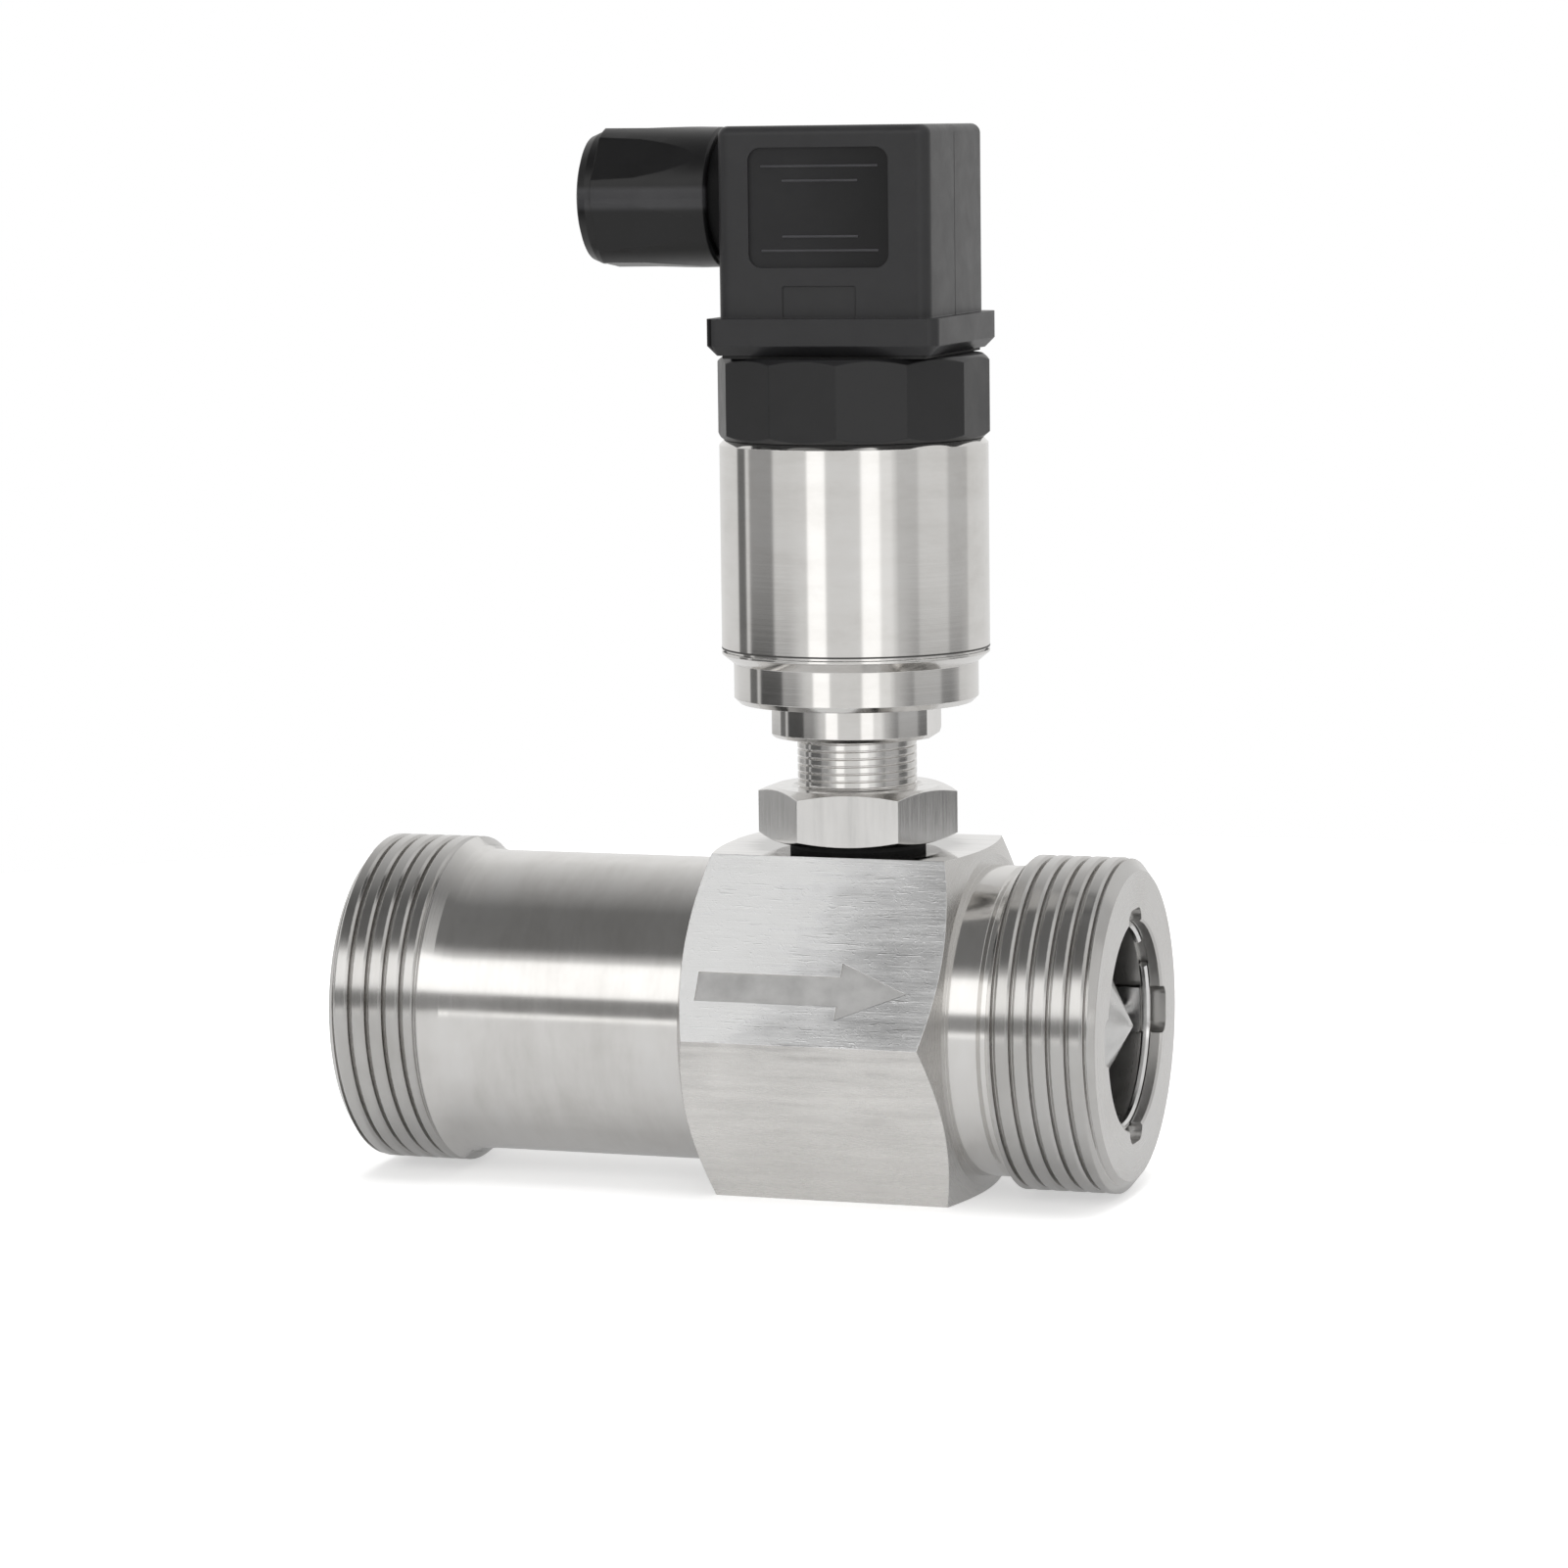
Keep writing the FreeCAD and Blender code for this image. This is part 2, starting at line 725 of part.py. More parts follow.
def front_recess(width, height, depth, corner, centre_x, centre_z):
    """Rounded rectangular pocket cutter for the front face of the plug."""
    cutter = box(centre_x - width / 2, centre_x + width / 2, -plug_half - 1, -plug_half + depth,
                 centre_z - height / 2, centre_z + height / 2)
    along = [edge for edge in cutter.Edges if edge.BoundBox.YLength > 1]
    return cutter.makeFillet(corner, along)


def gland_side(shape):
    """Turn a piece modelled along +X from the plug's side so that it leaves along -X."""
    shape = shape.copy()
    shape.rotate(ORIGIN, Z, 180)
    shape.translate(vec(0, 0, gland_z))
    return shape


def plug_housing():
    flange = square(flange_half, flange_bottom, flange_top, flange_corner)
    flange = flange.makeChamfer(flange_under_chamfer, edges_at_height(flange, flange_bottom))
    body = square(plug_half, flange_top - 1, plug_top, plug_corner)
    body = body.makeFillet(plug_top_round, edges_at_height(body, plug_top))
    neck = gland_side(cylinder_x(plug_half - 1, plug_half + gland_neck_length, gland_neck_radius))
    boss = cylinder_z(insert_bottom() + insert_height, plug_top - 1, screw_boss_radius)
    cavity = square(cavity_half(), flange_bottom - 1, plug_top - plug_roof)
    gasket_room = square(gasket_half + slip_gap, flange_bottom - 1, base_top + gasket_thickness)
    cable_way = gland_side(cylinder_x(cavity_half() - 1, plug_half + gland_neck_length + 1,
                                      gland_bore_radius))
    shape = flange.fuse([body, neck]).cut([cavity, gasket_room]).fuse(boss).cut(cable_way)
    head_bottom = plug_top - screw_head_inset - screw_head_height
    screw_way = [cylinder_z(flange_bottom, plug_top + 1, screw_radius + 3 * thread_clearance),
                 cylinder_z(head_bottom - screw_seal_thickness, plug_top + 1,
                            screw_head_radius + 3 * thread_clearance)]
    panel_z = plug_top - panel_drop - panel_height / 2
    label_z = flange_top + label_height / 2
    recesses = [front_recess(panel_width, panel_height, panel_depth, panel_corner, panel_shift,
                             panel_z),
                front_recess(label_width, label_height, label_depth, 0.2, panel_shift, label_z)]
    return shape.cut(screw_way + recesses)


def plug_gasket():
    frame = square(gasket_half, base_top, base_top + gasket_thickness)
    return frame.cut(square(gasket_opening_half, base_top - 1, base_top + gasket_thickness + 1))


def contact_block(turn, spare):
    """A contact's outer block in its place, grown by the spare room."""
    half_width = contact_width / 2 + spare
    half = contact_thickness / 2 + spare
    bottom = insert_bottom() + 0.5
    block = box(-half_width, half_width, -pin_offset - half, -pin_offset + half,
                bottom, bottom + contact_height)
    block.rotate(ORIGIN, Z, turn)
    return block


def plug_insert():
    bottom = insert_bottom()
    block = square(cavity_half() - slip_gap, bottom, bottom + insert_height, 0.8)
    screw_clear = cylinder_z(bottom - 1, bottom + insert_height + 1, screw_radius + 0.3)
    cuts = [screw_clear]
    for turn in pin_places():
        cuts.append(contact_block(turn, slip_gap / 2))
        cuts.append(pin_slot(turn, 3 * slip_gap))
        well = cylinder_z(bottom + contact_height, bottom + insert_height + 1,
                          terminal_screw_radius + 3 * slip_gap)
        well.translate(vec(0, -pin_offset, 0))
        well.rotate(ORIGIN, Z, turn)
        cuts.append(well)
    return block.cut(cuts)


def plug_contacts():
    contacts = []
    for turn in pin_places():
        contacts.append(contact_block(turn, 0.0).cut(pin_slot(turn, slip_gap)))
    return Part.makeCompound(contacts)


def terminal_screws():
    """Slotted clamping screws, one on top of each contact."""
    bottom = insert_bottom() + 0.5 + contact_height
    top = bottom + terminal_screw_height
    screws = []
    for turn in pin_places():
        screw = cylinder_z(bottom, top, terminal_screw_radius)
        screw = screw.cut(box(-2, 2, -0.3, 0.3, top - 0.8, top + 1))
        screw.translate(vec(0, -pin_offset, 0))
        screw.rotate(ORIGIN, Z, turn)
        screws.append(screw)
    return Part.makeCompound(screws)


def fixing_screw():
    head_top = plug_top - screw_head_inset
    head_bottom = head_top - screw_head_height
    shape = revolve([(base_top - screw_engagement, 0),
                     (base_top - screw_engagement, screw_radius - 0.4),
                     (base_top - screw_engagement + 0.4, screw_radius),
                     (head_bottom, screw_radius), (head_bottom, screw_head_radius),
                     (head_top - 0.3, screw_head_radius), (head_top, screw_head_radius - 0.3),
                     (head_top, 0)], "Z")
    half = driver_slot_width / 2
    slot = box(-screw_head_radius - 1, screw_head_radius + 1, -half, half,
               head_top - driver_slot_depth, head_top + 1)
    slot.rotate(ORIGIN, Z, 30)
    return shape.cut(slot)


def screw_seal():
    top = plug_top - screw_head_inset - screw_head_height
    ring = cylinder_z(top - screw_seal_thickness, top, screw_head_radius)
    return ring.cut(cylinder_z(top - 2, top + 1, screw_radius + thread_clearance))


# Cable gland, modelled along +X from the plug's axis

def gland_places():
    """Distances from the plug's axis: nut start, nut end, neck end and washer end."""
    nut_start = plug_half + gland_nut_gap
    nut_end = nut_start + gland_nut_length
    neck_end = plug_half + gland_neck_length
    washer_end = neck_end + slip_gap + washer_thickness
    return nut_start, nut_end, neck_end, washer_end


def gland_flat():
    """Cutter for one flat of the gland nut, straight at the cable end and fading to the plug."""
    nut_start, nut_end, neck_end, washer_end = gland_places()
    straight_start = nut_end - gland_end_ring_length - gland_flat_straight
    fade = (straight_start - nut_start) * math.tan(math.radians(gland_flat_fade_angle))
    low = gland_flat_distance
    profile = [vec(nut_start, 0, low + fade), vec(straight_start, 0, low),
               vec(nut_end - gland_end_ring_length, 0, low),
               vec(nut_end - gland_end_ring_length, 0, low + 3), vec(nut_start, 0, low + 3)]
    face = Part.Face(Part.makePolygon(profile + profile[:1]))
    cutter = face.extrude(vec(0, 2 * gland_nut_radius, 0))
    cutter.translate(vec(0, -gland_nut_radius, 0))
    return cutter


def gland_nut():
    nut_start, nut_end, neck_end, washer_end = gland_places()
    ring_start = nut_end - gland_end_ring_length
    inner = gland_neck_radius + thread_clearance
    round_off = gland_end_round
    outside = revolve([(nut_start, 0), (nut_start, gland_nut_radius - 0.3),
                       (nut_start + 0.3, gland_nut_radius),
                       (ring_start, gland_nut_radius + gland_nut_flare),
                       (ring_start, gland_end_ring_radius),
                       (nut_end - round_off, gland_end_ring_radius),
                       (nut_end - round_off * 0.3, gland_end_ring_radius - round_off * 0.3),
                       (nut_end, gland_end_ring_radius - round_off), (nut_end, 0)], "X")
    outside = outside.cut(spread_x(gland_flat(), 6, gland_flat_turn))
    inside = [cylinder_x(nut_start - 1, washer_end + slip_gap, inner),
              cylinder_x(nut_start, nut_end + 1, cable_hole_radius)]
    return outside.cut(inside)


def gland_washer():
    nut_start, nut_end, neck_end, washer_end = gland_places()
    disc = cylinder_x(neck_end + slip_gap, washer_end, gland_neck_radius - slip_gap)
    return disc.cut(cylinder_x(neck_end, washer_end + 1, cable_hole_radius + washer_hole_gap))


def gland_grommet():
    nut_start, nut_end, neck_end, washer_end = gland_places()
    body = cylinder_x(neck_end - grommet_length, neck_end, gland_bore_radius - slip_gap / 2)
    return body.cut(cylinder_x(neck_end - grommet_length - 1, neck_end + 1, grommet_hole_radius))


def main():
    os.makedirs("parts", exist_ok=True)
    inlet_hub_end = rotor_start - rotor_end_gap
    outlet_hub_end = body_length - rotor_end - rotor_end_gap
    save("meter_body", meter_body())
    save("inlet_flow_guide", flow_guide(inlet_hub_end))
    save("outlet_flow_guide", outlet_side(flow_guide(outlet_hub_end)))
    save("inlet_retaining_ring", retaining_ring())
    save("outlet_retaining_ring", outlet_side(retaining_ring()))
    save("inlet_bearing_bush", bearing_bush(inlet_hub_end))
    save("outlet_bearing_bush", outlet_side(bearing_bush(outlet_hub_end)))
    save("inlet_thrust_pad", thrust_pad(inlet_hub_end))
    save("outlet_thrust_pad", outlet_side(thrust_pad(outlet_hub_end)))
    save("rotor", rotor())
    save("rotor_shaft", rotor_shaft())
    save("lock_nut", at_pickup(lock_nut()))
    save("neck_gasket", at_pickup(neck_gasket()))
    save("pickup_stem", at_pickup(pickup_stem()))
    save("pickup_housing", at_pickup(pickup_housing()))
    save("coil_bobbin", at_pickup(coil_bobbin()))
    save("pickup_coil", at_pickup(pickup_coil()))
    save("pole_piece", at_pickup(pole_piece()))
    save("bias_magnet", at_pickup(bias_magnet()))
    save("amplifier_board", at_pickup(amplifier_board()))
    save("board_components", at_pickup(board_components()))
    save("connector_base", at_pickup(connector_base()))
    save("base_seal", at_pickup(base_seal()))
    save("contact_pins", at_plug(contact_pins()))
    save("plug_housing", at_plug(plug_housing()))
    save("plug_gasket", at_plug(plug_gasket()))
    save("plug_insert", at_plug(plug_insert()))
    save("plug_contacts", at_plug(plug_contacts()))
    save("terminal_screws", at_plug(terminal_screws()))
    save("fixing_screw", at_plug(fixing_screw()))
    save("screw_seal", at_plug(screw_seal()))
    save("gland_nut", at_plug(gland_side(gland_nut())))
    save("gland_washer", at_plug(gland_side(gland_washer())))
    save("gland_grommet", at_plug(gland_side(gland_grommet())))


main()
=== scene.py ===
import bpy
import bmesh
import math
from mathutils import Matrix, Vector


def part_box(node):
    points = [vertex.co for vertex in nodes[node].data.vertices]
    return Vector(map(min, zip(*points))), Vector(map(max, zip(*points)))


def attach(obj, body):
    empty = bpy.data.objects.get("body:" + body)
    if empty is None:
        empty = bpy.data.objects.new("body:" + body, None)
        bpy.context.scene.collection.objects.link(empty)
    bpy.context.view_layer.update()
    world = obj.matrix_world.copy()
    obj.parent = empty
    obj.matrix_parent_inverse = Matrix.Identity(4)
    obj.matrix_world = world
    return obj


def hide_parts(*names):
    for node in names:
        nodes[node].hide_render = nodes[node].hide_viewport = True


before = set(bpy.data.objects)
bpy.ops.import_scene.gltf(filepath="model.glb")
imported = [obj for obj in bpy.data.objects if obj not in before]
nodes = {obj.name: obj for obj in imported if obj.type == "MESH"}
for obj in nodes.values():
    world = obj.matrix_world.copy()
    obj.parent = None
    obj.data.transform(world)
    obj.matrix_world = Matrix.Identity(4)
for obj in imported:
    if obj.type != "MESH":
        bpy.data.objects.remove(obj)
bpy.context.scene.view_settings.view_transform = "Standard"
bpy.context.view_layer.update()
MM = 0.001

# Places read from the frame, in metres
body_low, body_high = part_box("meter_body")
sleeve_low, sleeve_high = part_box("pickup_housing")
plug_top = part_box("plug_housing")[1].z
floor_height = body_low.z
inlet_x = body_low.x
axis_z = 0.5 * (body_low.z + body_high.z)
hex_half = 0.5 * (body_high.z - body_low.z)
pickup_x = 0.5 * (sleeve_low.x + sleeve_high.x)

# The cable plug: its turn round the pickup, half its square, the gland's height and the front panel
plug_turn = math.radians(2.0)
plug_half = 13.4 * MM
gland_z = 123.7 * MM
panel_width = 17.6 * MM
panel_height = 14.5 * MM
panel_x = pickup_x - 0.4 * MM
panel_z = plug_top - 2.65 * MM - 0.5 * panel_height

# Threads. A groove is half widths with drops below the crest, from its floor outwards. Places on the
# pipe count from the inlet face, and places on the neck from the pipe's axis.
pipe_radius = 20.8 * MM
pipe_pitch = 2.309 * MM
pipe_groove = ((0.10 * MM, 0.85 * MM), (0.22 * MM, 0.26 * MM), (0.54 * MM, 0.0))
inlet_thread_end = 10.7 * MM
inlet_groove_place = 5.62 * MM
runout_place = 12.10 * MM
runout_width = 0.8 * MM
runout_depth = 0.45 * MM
outlet_thread_start = 86.9 * MM
outlet_groove_place = 94.40 * MM
body_length = 100.0 * MM
neck_radius = 7.45 * MM
neck_pitch = 0.94 * MM
neck_groove = ((0.05 * MM, 0.30 * MM), (0.15 * MM, 0.0))
neck_thread_start = 15.5 * MM
neck_thread_end = 34.9 * MM
neck_groove_place = 30.2 * MM
neck_steps = 56

# Bounds that tell the faces of the pipe body apart, by their places and by the way they face
inlet_thread_faces_end = 13.0 * MM
outlet_thread_faces_start = 87.0 * MM
hexagon_start = 47.2 * MM
hexagon_end = 81.2 * MM
bore_radius = 12.4 * MM
keyway_radius = 15.2 * MM
shoulder = (12.5 * MM, 16.4 * MM)
etched_at_least = 0.1 * MM
facing_along = 0.9
facing_side = 0.98
hardly_along = 0.2

# Edges sharper than this stay sharp
smooth_degrees = 22


# Node helpers

class Nodes:
    """Builds a node tree with short calls."""

    def __init__(self, tree):
        self.tree = tree

    def add(self, kind, **settings):
        node = self.tree.nodes.new(kind)
        for key, value in settings.items():
            setattr(node, key, value)
        return node

    def put(self, value, socket):
        """Link a socket, or set a plain value."""
        if isinstance(value, bpy.types.NodeSocket):
            self.tree.links.new(value, socket)
        else:
            socket.default_value = value

    def fill(self, node, values):
        """Link or set inputs by their names."""
        for name, value in values.items():
            self.put(value, node.inputs[name])

    def split(self, vector):
        """The x, y and z of a vector."""
        node = self.add("ShaderNodeSeparateXYZ")
        self.put(vector, node.inputs[0])
        return node.outputs

    def math(self, operation, a, b=0.0, c=0.0):
        node = self.add("ShaderNodeMath", operation=operation)
        for value, socket in zip((a, b, c), node.inputs):
            self.put(value, socket)
        return node.outputs[0]

    def remap(self, value, low, high, out_low, out_high, curve):
        node = self.add("ShaderNodeMapRange", interpolation_type=curve)
        self.fill(node, {"Value": value, "From Min": low, "From Max": high, "To Min": out_low,
                         "To Max": out_high})
        return node.outputs["Result"]

    def smooth(self, value, low, high, out_low=0.0, out_high=1.0):
        return self.remap(value, low, high, out_low, out_high, "SMOOTHSTEP")

    def linear(self, value, low, high, out_low, out_high):
        return self.remap(value, low, high, out_low, out_high, "LINEAR")

    def spread(self, noise, out_low, out_high):
        """Stretch the span in which most of a noise lies over another span."""
        return self.linear(noise, 0.3, 0.7, out_low, out_high)

    def noise(self, vector, scale, detail=4.0, roughness=0.55, distortion=0.0):
        node = self.add("ShaderNodeTexNoise")
        self.fill(node, {"Vector": vector, "Scale": scale, "Detail": detail,
                         "Roughness": roughness, "Distortion": distortion})
        return node.outputs["Fac"]

    def stretch(self, vector, scale, rotation=(0, 0, 0)):
        node = self.add("ShaderNodeMapping")
        self.fill(node, {"Vector": vector, "Scale": scale, "Rotation": rotation})
        return node.outputs["Vector"]

    def bump(self, height, strength, distance, normal=None):
        node = self.add("ShaderNodeBump")
        self.fill(node, {"Strength": strength, "Distance": distance, "Height": height})
        if normal is not None:
            self.put(normal, node.inputs["Normal"])
        return node.outputs["Normal"]

    def ramp(self, factor, stops):
        node = self.add("ShaderNodeValToRGB")
        self.put(factor, node.inputs["Fac"])
        elements = node.color_ramp.elements
        while len(elements) < len(stops):
            elements.new(0.5)
        for element, (place, colour) in zip(elements, stops):
            element.position = place
            element.color = (*colour, 1.0)
        return node.outputs["Color"]


def new_material(name):
    """Empty material with its node kit, its shader and the place on the object."""
    material = bpy.data.materials.new(name)
    material.use_nodes = True
    material.node_tree.nodes.clear()
    kit = Nodes(material.node_tree)
    shader = kit.add("ShaderNodeBsdfPrincipled")
    output = kit.add("ShaderNodeOutputMaterial")
    kit.put(shader.outputs["BSDF"], output.inputs["Surface"])
    place = kit.add("ShaderNodeTexCoord").outputs["Object"]
    return material, kit, shader, place


def rounded(kit, radius):
    """Normals that round every edge off by a small radius."""
    node = kit.add("ShaderNodeBevel", samples=6)
    kit.put(radius, node.inputs["Radius"])
    return node.outputs["Normal"]


def grey(value, warm):
    """Grey with a little more red and less blue where it is warm."""
    return (value * (1 + warm), value, value * (1 - 1.4 * warm))


# Materials. The scales of noises are in cells per metre.

def ring_place(kit, place, axis):
    """Place along the turning axis and distance from it, so that noise makes turned rings."""
    x, y, z = kit.split(place)
    if axis == "X":
        along, up = x, kit.math("SUBTRACT", z, axis_z)
    else:
        along, up = z, kit.math("SUBTRACT", x, pickup_x)
    square = kit.math("ADD", kit.math("MULTIPLY", y, y), kit.math("MULTIPLY", up, up))
    joined = kit.add("ShaderNodeCombineXYZ")
    kit.put(along, joined.inputs[0])
    kit.put(kit.math("SQRT", square), joined.inputs[1])
    return joined.outputs[0]


def turned_steel(name, axis, tone, rough, lines=1.0, edge=0.12 * MM):
    """Lathe-turned stainless steel: fine rings round the axis, faint stains and soft wear."""
    material, kit, shader, place = new_material(name)
    fine_scale, coarse_scale, cloud_scale, streak_scale = 9000.0, 2100.0, 95.0, 330.0
    rings = ring_place(kit, place, axis)
    fine = kit.noise(rings, fine_scale, detail=3.0, roughness=0.65)
    coarse = kit.noise(rings, coarse_scale, detail=2.0, roughness=0.5)
    cloud = kit.noise(place, cloud_scale, detail=5.0, roughness=0.6, distortion=0.4)
    along = {"X": (1.0, 0.25, 0.25), "Z": (0.25, 0.25, 1.0)}[axis]
    streak = kit.noise(kit.stretch(place, along), streak_scale, detail=4.0, roughness=0.6)
    tint = kit.math("ADD", kit.math("MULTIPLY", cloud, 0.55), kit.math("MULTIPLY", streak, 0.45))
    colour = kit.ramp(tint, [(0.30, grey(tone * 0.87, 0.022)), (0.52, grey(tone, 0.015)),
                             (0.72, grey(tone * 1.06, 0.008))])
    kit.put(colour, shader.inputs["Base Color"])
    shader.inputs["Metallic"].default_value = 1.0
    spread = kit.spread(fine, rough * 0.86, rough * 1.16)
    kit.put(kit.math("MULTIPLY", kit.spread(cloud, 0.9, 1.14), spread),
            shader.inputs["Roughness"])
    height = kit.math("ADD", kit.math("MULTIPLY", fine, 0.6), kit.math("MULTIPLY", coarse, 0.8))
    kit.put(kit.bump(height, 0.12 * lines, 0.02 * MM, rounded(kit, edge)),
            shader.inputs["Normal"])
    return material


def brushed_steel(name, direction, tone, rough, depth, scratch=0.0, warm=0.010, fade=False,
                  painted_light=None):
    """Flat steel with a straight grain along one direction, and scratches where asked.
    A function given for painted light adds to the place on the tone's ramp, where 0.5 is the plain
    tone, and so paints light and shade into the colour."""
    material, kit, shader, place = new_material(name)
    grain_scale, band_scale, cloud_scale = 5200.0, 700.0, 120.0
    along = tuple(0.03 if axis == direction else 1.0 for axis in "XYZ")
    wider = tuple(0.1 if axis == direction else 1.0 for axis in "XYZ")
    grain = kit.noise(kit.stretch(place, along), grain_scale, detail=3.0, roughness=0.7)
    band = kit.noise(kit.stretch(place, wider), band_scale, detail=3.0, roughness=0.6)
    cloud = kit.noise(place, cloud_scale, detail=4.0, roughness=0.55, distortion=0.3)
    tint = kit.math("ADD", kit.math("MULTIPLY", cloud, 0.4), kit.math("MULTIPLY", band, 0.6))
    if painted_light is not None:
        tint = kit.math("ADD", tint, painted_light(kit, place))
    height = kit.math("ADD", grain, kit.math("MULTIPLY", band, 0.5))
    if scratch > 0:
        marks = scratches(kit, place)
        height = kit.math("ADD", height, kit.math("MULTIPLY", marks, 1.5 * scratch))
        tint = kit.math("SUBTRACT", tint, kit.math("MULTIPLY", marks, 0.16 * scratch))
    colour = kit.ramp(tint, [(0.0, grey(tone * 0.5, warm)), (0.3, grey(tone * 0.88, warm)),
                             (0.5, grey(tone, warm)), (0.7, grey(min(1.0, tone * 1.07), warm))])
    kit.put(colour, shader.inputs["Base Color"])
    shader.inputs["Metallic"].default_value = 1.0
    wide = kit.spread(grain, rough * 0.85, rough * 1.2)
    if fade:
        wide = kit.math("MULTIPLY", wide, sanding_and_painted_light_ramp(kit, place, 1.20, 0.66))
    kit.put(wide, shader.inputs["Roughness"])
    kit.put(kit.bump(height, depth, 0.03 * MM, rounded(kit, 0.15 * MM)), shader.inputs["Normal"])
    return material


def sanding_and_painted_light_ramp(kit, place, coarse, fine):
    """Goes from coarse towards the inlet to fine towards the outlet. It sets how rough the sanded
    side is, and it also carries the painted light on the arrow's side.
    """
    x, y, z = kit.split(place)
    wander = kit.math("MULTIPLY", kit.noise(place, 160.0, detail=3.0, roughness=0.6), 12.0 * MM)
    along = kit.math("ADD", kit.math("SUBTRACT", x, kit.math("MULTIPLY", z, 0.5)), wander)
    return kit.smooth(along, -24.0 * MM, 2.0 * MM, coarse, fine)


def painted_light_on_arrow_side(kit, place):
    """Painted light on the arrow's side: its tone is lighter towards the inlet and darker towards the
    outlet, as a light at that side would make it.
    """
    return sanding_and_painted_light_ramp(kit, place, 0.12, -0.28)


def painted_reflection_low_on_hexagon(kit, place):
    """Painted reflection on the hexagon's lower sides: the tone is lighter towards the floor,
    standing in for the lit floor that they mirror.
    """
    return kit.linear(kit.split(place)[2], floor_height, axis_z, 0.20, -0.22)


def painted_shade_under_nut(kit, place):
    """Painted shade on the top flat: the tone is darker close to the nut that stands on it."""
    away = kit.split(ring_place(kit, place, "Z"))[1]
    return kit.smooth(away, 10.0 * MM, 17.0 * MM, -0.60, 0.0)


def scratches(kit, place):
    """Thin straight marks in several directions, as a hand-sanded face has."""
    total = None
    directions = ((0.0, 1.0), (0.5, 0.6), (-0.35, 0.5), (1.2, 0.25), (-1.0, 0.25))
    for index, (angle, weight) in enumerate(directions):
        turned = kit.stretch(place, (1, 1, 1), (0.0, angle, 0.3 * index))
        line = kit.stretch(turned, (0.09, 1.0, 1.0))
        value = kit.noise(line, 3300.0 + 400.0 * index, detail=2.0, roughness=0.5)
        part = kit.math("MULTIPLY", kit.smooth(value, 0.62, 0.74), weight)
        total = part if total is None else kit.math("ADD", total, part)
    return total


def plain_steel(name, tone, rough):
    """Steel with an even, slightly cloudy finish."""
    material, kit, shader, place = new_material(name)
    warm = 0.004
    cloud = kit.noise(place, 400.0, detail=4.0, roughness=0.6)
    colour = kit.ramp(cloud, [(0.3, grey(tone * 0.9, warm)), (0.7, grey(tone * 1.08, warm))])
    kit.put(colour, shader.inputs["Base Color"])
    shader.inputs["Metallic"].default_value = 1.0
    kit.put(kit.spread(cloud, rough * 0.85, rough * 1.15), shader.inputs["Roughness"])
    fine = kit.noise(place, 6000.0, detail=2.0, roughness=0.6)
    kit.put(kit.bump(fine, 0.1, 0.02 * MM), shader.inputs["Normal"])
    return material


def moulded_plastic(name, tone, rough, grain=0.25, marks=0.5, edge=0.25 * MM, shine=0.42,
                    shade=None):
    """Black moulded plastic with a fine eroded texture and light handling marks.
    A shade gives, for every place, the share of the colour left there, and so paints light and shade
    into the colour."""
    material, kit, shader, place = new_material(name)
    cool = 0.07
    fine_scale, soft_scale, scuff_scale = 9000.0, 260.0, 1500.0
    fine = kit.noise(place, fine_scale, detail=3.0, roughness=0.6)
    soft = kit.noise(place, soft_scale, detail=5.0, roughness=0.6, distortion=0.5)
    colour = kit.ramp(soft, [(0.25, (tone * 0.9, tone * 0.9, tone * (0.9 + cool))),
                             (0.75, (tone * 1.12, tone * 1.12, tone * (1.12 + cool)))])
    if shade is not None:
        scaled = kit.add("ShaderNodeVectorMath", operation="SCALE")
        kit.put(colour, scaled.inputs[0])
        kit.put(shade(kit, place), scaled.inputs["Scale"])
        colour = scaled.outputs[0]
    kit.put(colour, shader.inputs["Base Color"])
    shader.inputs["Specular IOR Level"].default_value = shine
    scuff = kit.noise(kit.stretch(place, (1.0, 1.0, 0.3)), scuff_scale,
                      detail=6.0, roughness=0.7, distortion=0.8)
    dull = kit.smooth(scuff, 0.55, 0.8, 0.0, 0.12 * marks)
    kit.put(kit.math("ADD", kit.spread(soft, rough * 0.9, rough * 1.1), dull),
            shader.inputs["Roughness"])
    kit.put(kit.bump(fine, grain, 0.03 * MM, rounded(kit, edge)), shader.inputs["Normal"])
    return material


def panel_painted_shade(kit, place):
    """Painted shade: the front panel's colour grows darker to its right."""
    return kit.linear(kit.split(place)[0], panel_x - 0.1 * panel_width,
                      panel_x + 0.5 * panel_width, 1.0, 0.35)


def gland_painted_highlight(kit, place):
    """Painted highlight: the colour is lighter on the flat that runs along the nut's front, and
    darker on the rest of the nut.
    """
    off = kit.math("ABSOLUTE", kit.math("SUBTRACT", kit.split(place)[2], gland_z))
    return kit.smooth(off, 0.9 * MM, 1.7 * MM, 3.6, 0.55)


def soft_rubber(name):
    """Dull black rubber with a fine grain."""
    material, kit, shader, place = new_material(name)
    fine = kit.noise(place, 5000.0, detail=3.0, roughness=0.6)
    soft = kit.noise(place, 500.0, detail=3.0, roughness=0.6)
    kit.put(kit.ramp(soft, [(0.3, (0.012, 0.012, 0.012)), (0.7, (0.022, 0.022, 0.022))]),
            shader.inputs["Base Color"])
    shader.inputs["Roughness"].default_value = 0.7
    kit.put(kit.bump(fine, 0.3, 0.03 * MM), shader.inputs["Normal"])
    return material


